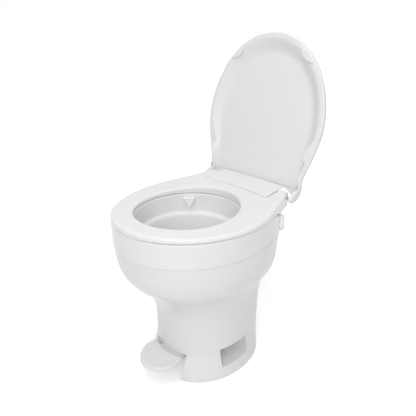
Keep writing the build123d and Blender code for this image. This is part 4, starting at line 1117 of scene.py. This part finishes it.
@dataclass
class Lid:
    """The lid in its own leaning frame: a shallow tray, two hinge arms, four pads and four foot flaps.

    A point is (x, along, height): along runs from the hinge to the tip, and height runs towards the bowl.
    """

    lean: float = 11.59
    hinge: tuple[float, float] = (162.0, 444.5)
    rim: float = 11.7
    depth: float = 20.0
    back_round: float = 13.0
    back_least: float = 4.0
    recess: float = 16.3
    straight_share: float = 0.35
    centre: float = 174.2
    half_width: float = 189.4
    reach: float = 215.4
    flank_along: Sequence[float] = (20.2, 53.5, 107.6, 174.2)
    flank_x: Sequence[float] = (157.0, 160.9, 177.1, 189.4)
    flank_slope: Sequence[float] = (0.07, 0.208, 0.242, 0.0)
    crease_inset: Sequence[float] = (10.6, 14.4, 30.0, 42.0)
    rim_inset: Sequence[float] = (9.2, 10.2, 11.0, 11.0)
    rim_edge: float = 2.4
    foot_edge: float = 1.2
    foot_inset: float = 9.0
    arm: tuple[float, float] = (147.0, 157.0)
    arm_edge: float = 1.6
    arm_upper: Sequence[tuple[float, float]] = (
        (34.0, 29.0),
        (16.0, 29.0),
        (12.0, 27.4),
        (0.0, 21.2),
        (-3.4, 17.5),
    )
    arm_lower: Sequence[tuple[float, float]] = ((21.0, 11.7), (34.0, 11.7))
    lug_radius: float = 10.0
    lug_turns: tuple[float, float] = (143.1, 306.9)
    flap_edge: float = 0.8
    flap_outlines: Sequence[Sequence[tuple[float, float]]] = (
        (
            (109.0, 14.5),
            (119.0, 9.5),
            (128.0, 2.0),
            (136.0, -8.0),
            (149.0, 6.0),
            (149.0, 24.0),
            (109.0, 24.0),
        ),
        ((60.0, 20.2), (85.0, 16.4), (110.0, 16.4), (110.0, 24.0), (60.0, 24.0)),
    )
    pad_height: float = 1.6
    pad_edge: float = 1.2
    pad_arcs: Sequence[Sequence[tuple[float, float]]] = (
        ((87.0, 357.0), (103.5, 331.0), (131.0, 320.0), (114.0, 343.0)),
        ((162.0, 89.0), (152.0, 113.0), (176.0, 151.0), (172.0, 118.0)),
    )

    def to_frame(self, points: Array) -> Array:
        """Turns the lid's own points into the row frame: it leans back about the hinge.

        Args:
            points: Points in the lid's frame.

        Returns:
            The points in the row frame.
        """
        lean = np.radians(self.lean)
        x, along, behind = points[:, 0], points[:, 1], -points[:, 2]
        y = self.hinge[0] + along * np.sin(lean) + behind * np.cos(lean)
        z = self.hinge[1] + along * np.cos(lean) - behind * np.sin(lean)
        return np.stack([x, y, z], axis=1)

    def arm_to_frame(self, points: Array) -> Array:
        """Turns an arm's points, whose plan is the lid seen from its side, into the row frame."""
        return self.to_frame(np.stack([-points[:, 2], points[:, 0], -points[:, 1]], axis=1))

    def outline(self) -> Array:
        """The outline from the lower right corner over the tip to the lower left corner.

        Returns:
            The points: a cubic through the flank's points, half an ellipse, and the flank mirrored.
        """
        along = np.linspace(self.flank_along[0], self.centre, 40)
        flank = [np.array(values) for values in (self.flank_along, self.flank_x, self.flank_slope)]
        right = np.stack([cubic_through(along, *flank), along], axis=1)
        turn = np.linspace(0.0, np.pi, 120)[1:-1]
        top = np.stack([self.half_width * np.cos(turn), self.centre + self.reach * np.sin(turn)], axis=1)
        return np.vstack([right, top, right[::-1] * [-1.0, 1.0]])

    def tray_front(self, plan: Array, distance: Array) -> Array:
        """The side towards the bowl: a level rim, and a recess behind a ramp of s·t + (1 - s)·(3t² - 2t³).

        Args:
            plan: The plan's points.
            distance: Not used, because the foot has a round of its own.

        Returns:
            The heights.
        """
        side = loop_distance(plan, self.outline(), closed=False)
        crease = np.interp(plan[:, 1], self.flank_along, self.crease_inset)
        start = np.interp(plan[:, 1], self.flank_along, self.rim_inset)
        share = np.clip((side - start) / (crease - start), 0.0, 1.0)
        soft = (1 - self.straight_share) * share * share * (3 - 2 * share)
        ramp = self.straight_share * share + soft
        foot = rounded_drop(plan[:, 1] - self.flank_along[0], self.foot_edge) * (side > self.foot_inset)
        return -(self.rim + self.recess * ramp + rounded_drop(side, self.rim_edge) + foot)

    def tray_back(self, plan: Array, distance: Array) -> Array:
        """The outer side: level, with a wide round towards the outline.

        Args:
            plan: The plan's points.
            distance: Not used, because the foot has a round of its own.

        Returns:
            The heights.
        """
        side = loop_distance(plan, self.outline(), closed=False)
        foot = rounded_drop(plan[:, 1] - self.flank_along[0], self.foot_edge)
        behind = self.rim + self.depth - rounded_drop(side, self.back_round) - foot
        return -np.maximum(behind, self.rim + self.back_least)

    def tray(self) -> bpy.types.Object:
        """Builds the tray.

        Returns:
            The object.
        """
        return Plate(
            "lid_tray",
            self.outline(),
            self.tray_front,
            self.tray_back,
            insets=(0.3, 0.9, 1.8, 3.0, 5.0, 7.5, 10.0, 11.5, 14.0, 18.0),
            step=4.5,
            fill=8.0,
            to_frame=self.to_frame,
        ).build()

    def arms(self) -> list[bpy.types.Object]:
        """Builds the two hinge arms, each a flat hook round the hinge pin.

        Returns:
            The two objects.
        """
        turn = np.radians(np.linspace(*self.lug_turns, 24))
        lug = self.lug_radius * np.stack([np.cos(turn), np.sin(turn)], axis=1)
        loop = np.vstack([self.arm_upper, lug, self.arm_lower])
        made = []
        for side, word in SIDES:
            low, high = sorted((-side * self.arm[0], -side * self.arm[1]))
            faces = level_face(high, self.arm_edge), level_face(low, -self.arm_edge)
            sizes = {"insets": (0.3, 0.8, 1.7), "step": 1.6, "fill": 3.0, "to_frame": self.arm_to_frame}
            made.append(Plate(f"lid_arm_{word}", loop, *faces, **sizes).build())
        return made

    def flaps(self) -> list[bpy.types.Object]:
        """Builds the flaps that carry the tray's back wall down, behind the ears and beside the cover.

        Returns:
            The four objects.
        """
        front = level_face(-self.rim - self.recess, self.flap_edge)
        back = level_face(-self.rim - self.depth, -self.flap_edge)
        sizes = {"insets": (0.2, 0.5, 0.9), "step": 1.5, "fill": 3.0, "to_frame": self.to_frame}
        made = []
        for side, word in SIDES:
            for number, outline in enumerate(self.flap_outlines):
                loop = np.array([(side * x, along) for x, along in outline[::side]])
                made.append(Plate(f"lid_flap_{number}_{word}", loop, front, back, **sizes).build())
        return made

    def pads(self) -> list[bpy.types.Object]:
        """Builds the four crescent pads on the rim, each between two quadratic curves through three points.

        Returns:
            The four objects.
        """
        top = level_face(-self.rim + self.pad_height, self.pad_edge)
        under = level_face(-self.rim)
        sizes = {"insets": (0.3, 0.8, 1.4), "step": 1.5, "fill": 3.0, "to_frame": self.to_frame}
        share = np.linspace(0.0, 1.0, 24)[:, None]
        made = []
        for side, word in SIDES:
            for number, arc in enumerate(self.pad_arcs):
                start, inner, end, outer = np.array(arc)
                curves = []
                for middle in (inner, outer):
                    bend = 2 * middle - (start + end) / 2
                    curve = (1 - share) ** 2 * start + 2 * share * (1 - share) * bend + share**2 * end
                    curves.append(curve)
                loop = np.vstack([curves[0], curves[1][-2:0:-1]]) * [side, 1.0]
                loop = loop if twice_area(loop) >= 0 else loop[::-1]
                made.append(Plate(f"lid_pad_{number}_{word}", loop, top, under, **sizes).build())
        return made


@dataclass
class HingeCover:
    """The sloping cover plate between the seat's ears."""

    front_half: float = 107.1
    rear_half: float = 108.2
    front: tuple[float, float] = (115.5, 450.5)
    rise: float = 10.1
    run: float = 58.2
    length: float = 69.6
    front_bow: float = 8.5
    rear_bow: float = 3.6
    thickness: float = 3.0
    edge: float = 1.3

    def to_frame(self, points: Array) -> Array:
        """Turns points on the plate's own slope into the row frame.

        Args:
            points: Points as (x, along the slope, up from it).

        Returns:
            The points in the row frame.
        """
        slope = np.arctan2(self.rise, self.run)
        along, up = points[:, 1], points[:, 2]
        y = self.front[0] + along * np.cos(slope) - up * np.sin(slope)
        z = self.front[1] + along * np.sin(slope) + up * np.cos(slope)
        return np.stack([points[:, 0], y, z], axis=1)

    def build(self) -> bpy.types.Object:
        """Builds the plate between its two bowed edges.

        Returns:
            The object.
        """
        share = np.linspace(-1.0, 1.0, 60)
        front = np.stack([self.front_half * share, self.front_bow * (1 - share**2)], axis=1)
        rear_y = self.length + self.rear_bow * (1 - share**2)
        rear = np.stack([self.rear_half * share[::-1], rear_y], axis=1)
        return Plate(
            "cover_plate",
            np.vstack([front, rear]),
            level_face(0.0, self.edge),
            level_face(-self.thickness),
            insets=(0.3, 0.8, 1.4, 3.0),
            step=3.5,
            fill=8.0,
            to_frame=self.to_frame,
        ).build()


@dataclass
class FootPedal:
    """The D-shaped pedal with its dished top, hollow below and open at the rear for the lever's arms."""

    half_width: float = 56.0
    ear_half: float = 53.4
    ear_y: float = -121.0
    wide_y: float = -145.0
    tip_y: float = -200.0
    rear_y: float = -131.0
    bottom: float = 49.0
    rear_top: float = 65.0
    front_top: float = 57.0
    edge: float = 2.0
    dish_start: float = 8.0
    dish_end: float = 22.0
    dish: float = 2.5
    ceiling: float = 6.5
    wall: tuple[float, float] = (2.6, 3.4)
    arm_half: float = 48.1
    arm_reach: float = 8.0

    def crest(self, y: Array) -> Array:
        """Height of the top's slope at a place along Y."""
        slope = (self.rear_top - self.front_top) / (self.ear_y - self.tip_y)
        return self.rear_top - slope * (self.ear_y - y)

    def upper(self, plan: Array, distance: Array) -> Array:
        """The top: its slope, less the rounded edge and the dish."""
        dish = self.dish * smoothstep(distance, self.dish_start, self.dish_end)
        return self.crest(plan[:, 1]) - rounded_drop(distance, self.edge) - dish

    def lower(self, plan: Array, distance: Array) -> Array:
        """The underside: the wall's foot along the edge, and the ceiling inside it and where the arms pass.

        Args:
            plan: The plan's points.
            distance: Their distance from the edge.

        Returns:
            The heights.
        """
        hollow = smoothstep(distance, *self.wall)
        arm = (np.abs(plan[:, 0]) < self.arm_half) & (plan[:, 1] > self.rear_y - self.arm_reach)
        hollow = np.where(arm, 1.0, hollow)
        height = self.crest(plan[:, 1]) - self.ceiling
        return self.bottom + (height - self.bottom) * hollow

    def build(self) -> bpy.types.Object:
        """Builds the pedal: half an ellipse ahead, and a bowed edge behind.

        Returns:
            The object.
        """
        turn = np.linspace(np.pi, 2 * np.pi, 70)
        nose_y = self.wide_y + (self.wide_y - self.tip_y) * np.sin(turn)
        nose = np.stack([self.half_width * np.cos(turn), nose_y], axis=1)
        share = np.linspace(1.0, -1.0, 30)
        rear_y = self.rear_y + (self.ear_y - self.rear_y) * share**2
        rear = np.stack([self.ear_half * share, rear_y], axis=1)
        return Plate(
            "pedal_plate",
            np.vstack([nose, rear]),
            self.upper,
            self.lower,
            insets=(0.3, 0.9, 2.0, 2.6, 3.4, 6.0, 9.5, 11.8, 12.8, 13.8, 14.8, 17.0),
            step=2.5,
            fill=5.0,
        ).build()


@dataclass
class VacuumBreaker:
    """The round breaker in the band's right rear: a domed cap, its neck and body, and two hose ports."""

    at: tuple[float, float, float] = (140.0, 135.0, 388.0)
    turn: float = 40.5
    body: Sequence[tuple[float, float]] = (
        (0.0, -58.0),
        (14.0, -58.0),
        (14.0, -14.0),
        (12.0, -14.0),
        (12.0, -1.6),
        (20.0, -1.6),
    )
    cap_radius: float = 20.0
    cap_edge: float = 3.5
    dome: float = 8.0
    face: Sequence[tuple[float, float]] = ((11.0, 11.5), (10.2, 10.9), (9.0, 10.9), (8.2, 11.5), (0.0, 11.5))
    port_depths: Sequence[float] = (26.0, 46.0)
    port_foot: float = 352.0
    port_radius: float = 4.0
    port_length: float = 36.0

    def build(self) -> list[bpy.types.Object]:
        """Builds the cap with its body, and the two ports.

        Returns:
            The objects.
        """
        out = (np.cos(np.radians(self.turn)), np.sin(np.radians(self.turn)), 0.0)
        angles = np.radians(np.linspace(0.0, 90.0, 10))
        cap = [
            (self.cap_radius - self.dome * (1 - np.cos(angle)), self.cap_edge + self.dome * np.sin(angle))
            for angle in angles
        ]
        made = [Lathe("breaker_cap", self.at, out, [*self.body, *cap, *self.face]).build()]
        for number, depth in enumerate(self.port_depths):
            foot = (self.at[0] - depth * out[0], self.at[1] - depth * out[1], self.port_foot)
            made.append(rod(f"breaker_port_{number}", foot, (0, 0, 1), self.port_radius, self.port_length))
        return made


@dataclass
class SprayNozzle:
    """The three-cornered nozzle on the bowl's left rear wall, with its pipe and hose port behind."""

    turn: float = 137.8
    reach: float = 121.9
    centre: float = -44.0
    top: float = 419.0
    tip: float = 387.0
    half_width: float = 17.5
    corner: float = 3.0
    thickness: float = 8.0
    edge: float = 2.5
    step_depth: float = 0.9
    step_at: tuple[float, float] = (4.6, 5.4)
    pipe_height: float = 405.0
    pipe: tuple[float, float] = (5.0, 20.0)
    port_depth: float = 18.0
    port_foot: float = 366.0
    port: tuple[float, float] = (4.0, 39.0)

    @property
    def out(self) -> Array:
        """The level direction from the bowl's middle to the nozzle."""
        return np.array([np.cos(np.radians(self.turn)), np.sin(np.radians(self.turn)), 0.0])

    @property
    def origin(self) -> Array:
        """The point of the bowl's wall behind the nozzle, at the floor's height."""
        return self.reach * self.out + [0.0, self.centre, 0.0]

    def to_frame(self, points: Array) -> Array:
        """Turns points on the wall into the row frame.

        Args:
            points: Points as (sideways, height, outwards).

        Returns:
            The points in the row frame.
        """
        side = np.array([-self.out[1], self.out[0], 0.0])
        along = points[:, :1] * side + points[:, 2:] * self.out
        return self.origin + along + points[:, 1:2] * [0.0, 0.0, 1.0]

    def face(self, plan: Array, distance: Array) -> Array:
        """The nozzle's front: a rounded edge, and a shallow step inside it."""
        step = self.step_depth * smoothstep(distance, *self.step_at)
        return -self.thickness + rounded_drop(distance, self.edge) + step

    def build(self) -> list[bpy.types.Object]:
        """Builds the wedge, the pipe and the port.

        Returns:
            The objects.
        """
        corners = [(-self.half_width, self.top), (0.0, self.tip), (self.half_width, self.top)]
        wedge = Plate(
            "nozzle_wedge",
            rounded_polygon(corners, self.corner),
            level_face(0.0),
            self.face,
            insets=(0.3, 0.9, 1.7, 2.6, 4.5, 5.5),
            step=1.4,
            fill=3.0,
            to_frame=self.to_frame,
        ).build()
        pipe_start = self.origin + [0.0, 0.0, self.pipe_height]
        port_start = self.origin + self.port_depth * self.out + [0.0, 0.0, self.port_foot]
        return [
            wedge,
            rod("nozzle_pipe", pipe_start, self.out, *self.pipe),
            rod("nozzle_port", port_start, (0, 0, 1), *self.port),
        ]


@dataclass(frozen=True)
class Lamp:
    """One soft square lamp, in metres and watts."""

    name: str
    at: tuple[float, float, float]
    aim: tuple[float, float, float]
    size: float
    power: float

    def build(self) -> bpy.types.Object:
        """Adds the lamp.

        Returns:
            The lamp object.
        """
        data = bpy.data.lights.new(self.name, "AREA")
        data.size = self.size
        data.energy = self.power
        obj = bpy.data.objects.new(self.name, data)
        bpy.context.scene.collection.objects.link(obj)
        turn = (Vector(self.aim) - Vector(self.at)).to_track_quat("-Z", "Y").to_matrix().to_4x4()
        obj.matrix_world = Matrix.Translation(self.at) @ turn
        return obj


@dataclass
class Studio:
    """The pale floor, the soft lamps, the sky and the camera at the photo's angle, in metres."""

    floor_half: float = 8.0
    floor_drop: float = 0.00005
    floor_points: int = 9
    floor_dark: Colour = (0.72, 0.72, 0.72)
    floor_light: Colour = (0.74, 0.74, 0.74)
    floor_glow: float = 0.46
    glow_near: float = 0.5
    glow_far: float = 1.6
    sky_low: float = 0.16
    sky_high: float = 0.84
    lamps: Sequence[Lamp] = (
        Lamp("key", (1.5, -1.6, 1.4), (0.0, -0.05, 0.35), size=1.1, power=23.0),
        Lamp("top", (0.2, -0.6, 2.4), (0.0, 0.1, 0.5), size=1.0, power=10.0),
        Lamp("rim", (0.9, 1.9, 1.9), (0.0, 0.0, 0.5), size=1.4, power=4.0),
    )
    camera_at: tuple[float, float, float] = (0.7343, -0.6509, 0.8202)
    right: tuple[float, float, float] = (0.69606, 0.71798, 0.0)
    up: tuple[float, float, float] = (-0.27997, 0.27141, 0.92084)
    back: tuple[float, float, float] = (0.66115, -0.64096, 0.38993)
    lens: float = 37.08
    shift: tuple[float, float] = (-0.0266, 0.0164)

    def seen_directly(self, nodes: bpy.types.Nodes, links: bpy.types.NodeLinks) -> bpy.types.NodeSocket:
        """Joins the camera, glossy and transmission rays into one yes or no.

        Args:
            nodes: The nodes of the material or world.
            links: Its links.

        Returns:
            A socket that is 1 on those rays and 0 on the rest.
        """
        path = nodes.new("ShaderNodeLightPath")
        first = add_node(nodes, "ShaderNodeMath", operation="MAXIMUM")
        second = add_node(nodes, "ShaderNodeMath", operation="MAXIMUM")
        links.new(path.outputs["Is Camera Ray"], first.inputs[0])
        links.new(path.outputs["Is Glossy Ray"], first.inputs[1])
        links.new(first.outputs["Value"], second.inputs[0])
        links.new(path.outputs["Is Transmission Ray"], second.inputs[1])
        return second.outputs["Value"]

    def floor_material(self) -> bpy.types.Material:
        """Builds the floor's material: seen directly, it glows more towards the distance, up to white.

        Returns:
            The material.
        """
        material = bpy.data.materials.new("pale_floor")
        material.use_nodes = True
        nodes, links = material.node_tree.nodes, material.node_tree.links
        shader, output = nodes["Principled BSDF"], nodes["Material Output"]
        shader.inputs["Roughness"].default_value = 0.7
        shader.inputs["Specular IOR Level"].default_value = 0.2
        mottle = add_node(nodes, "ShaderNodeGroup", {"Scale": 3.0}, node_tree=mottle_group())
        colours = {"A": (*self.floor_dark, 1.0), "B": (*self.floor_light, 1.0)}
        tint = add_node(nodes, "ShaderNodeMix", colours, data_type="RGBA")
        links.new(mottle.outputs["Mask"], tint.inputs["Factor"])
        links.new(tint.outputs["Result"], shader.inputs["Base Color"])
        glow = nodes.new("ShaderNodeEmission")
        coordinates = nodes.new("ShaderNodeTexCoord")
        away = add_node(nodes, "ShaderNodeVectorMath", operation="LENGTH")
        near = {"From Min": self.glow_near, "To Min": self.floor_glow}
        far = {"From Max": self.glow_far, "To Max": 1.0}
        fade = add_node(nodes, "ShaderNodeMapRange", near | far)
        links.new(coordinates.outputs["Object"], away.inputs[0])
        links.new(away.outputs["Value"], fade.inputs["Value"])
        links.new(fade.outputs["Result"], glow.inputs["Strength"])
        gate = nodes.new("ShaderNodeMixShader")
        both = nodes.new("ShaderNodeAddShader")
        links.new(shader.outputs["BSDF"], both.inputs[0])
        links.new(glow.outputs["Emission"], both.inputs[1])
        links.new(self.seen_directly(nodes, links), gate.inputs["Fac"])
        links.new(shader.outputs["BSDF"], gate.inputs[1])
        links.new(both.outputs["Shader"], gate.inputs[2])
        links.new(gate.outputs["Shader"], output.inputs["Surface"])
        return material

    def floor(self) -> bpy.types.Object:
        """Builds the floor: a flat sheet whose colour keeps the object's shadow.

        Returns:
            The floor object.
        """
        line = np.linspace(-self.floor_half / MM, self.floor_half / MM, self.floor_points)
        across, along = np.meshgrid(line, line, indexing="ij")
        height = np.full(across.size, -self.floor_drop / MM)
        points = np.stack([across.ravel(), along.ravel(), height], axis=1)
        faces = quads_of(grid_numbers(self.floor_points, self.floor_points)).reshape(-1, 4)
        obj = mesh_object("floor", points, [faces])
        obj.data.materials.append(self.floor_material())
        return obj

    def sky_light(self) -> None:
        """Sets a sky that looks white and lights the object from dim at the horizon to bright overhead."""
        world = bpy.data.worlds.new("studio_sky")
        world.use_nodes = True
        nodes, links = world.node_tree.nodes, world.node_tree.links
        background = nodes["Background"]
        background.inputs["Color"].default_value = (1.0, 1.0, 1.0, 1.0)
        direction = nodes.new("ShaderNodeTexCoord")
        split = nodes.new("ShaderNodeSeparateXYZ")
        light = add_node(nodes, "ShaderNodeMapRange", {"To Min": self.sky_low, "To Max": self.sky_high})
        level = add_node(nodes, "ShaderNodeMix", {"B": 1.0})
        links.new(direction.outputs["Generated"], split.inputs["Vector"])
        links.new(split.outputs["Z"], light.inputs["Value"])
        links.new(self.seen_directly(nodes, links), level.inputs["Factor"])
        links.new(light.outputs["Result"], level.inputs["A"])
        links.new(level.outputs["Result"], background.inputs["Strength"])
        bpy.context.scene.world = world

    def camera(self) -> None:
        """Adds the camera at the photo's angle: its own right, up and back directions stand as columns."""
        data = bpy.data.cameras.new("photo_camera")
        data.lens = self.lens
        data.sensor_width = 36.0
        data.shift_x, data.shift_y = self.shift
        data.clip_start = 0.02
        data.clip_end = 60.0
        obj = bpy.data.objects.new("photo_camera", data)
        bpy.context.scene.collection.objects.link(obj)
        columns = [Vector(self.right), Vector(self.up), Vector(self.back)]
        turn = Matrix(columns).transposed().to_4x4()
        obj.matrix_world = Matrix.Translation(self.camera_at) @ turn
        bpy.context.scene.camera = obj

    def build(self) -> None:
        """Adds everything that isn't part of the object."""
        self.sky_light()
        lamps = [lamp.build() for lamp in self.lamps]
        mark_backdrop(self.floor(), *lamps)
        self.camera()
        bpy.context.scene.view_settings.view_transform = "Standard"


def place(objects: Sequence[bpy.types.Object], finish: Finish, body: Body, node: str) -> None:
    """Dresses pieces, lets them ride their body and stand for their CAD node.

    Args:
        objects: The pieces.
        finish: Their finish.
        body: The body that they ride.
        node: The CAD node that they stand for.
    """
    finish.dress(*objects)
    for obj in objects:
        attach(obj, body.value)
        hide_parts(node)
        log.info("%s rides %s for %s, in %s", obj.name, body.value, node, finish.name)


def main() -> None:
    """Builds every visible piece, then the studio."""
    logging.basicConfig(level=logging.INFO, format="%(message)s")
    lid = Lid()
    place([Pedestal().build()], WHITE, Body.BASE, "pedestal")
    place([Bowl().build()], WHITE_INSIDE, Body.BASE, "bowl")
    place([HingeCover().build()], WHITE, Body.BASE, "hinge_cover")
    place(VacuumBreaker().build(), WHITE_FITTING, Body.BASE, "vacuum_breaker")
    place(SprayNozzle().build(), WHITE_FITTING, Body.BASE, "spray_nozzle")
    place([SeatRing().build()], WHITE, Body.SEAT, "seat")
    place([lid.tray(), *lid.arms(), *lid.flaps()], WHITE, Body.LID, "lid")
    place(lid.pads(), PAD, Body.LID, "lid_bumpers")
    place([FootPedal().build()], WHITE, Body.PEDAL, "pedal")
    for finish, names in NODE_FINISHES.items():
        for name in names:
            finish.dress(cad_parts[name])
            log.info("%s keeps its solid, in %s", name, finish.name)
    Studio().build()
    ends = {"start": START_BOUNDS, "finish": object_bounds()}
    plain = {key: [list(map(float, corner)) for corner in value] for key, value in ends.items()}


if __name__ == "__main__":
    main()
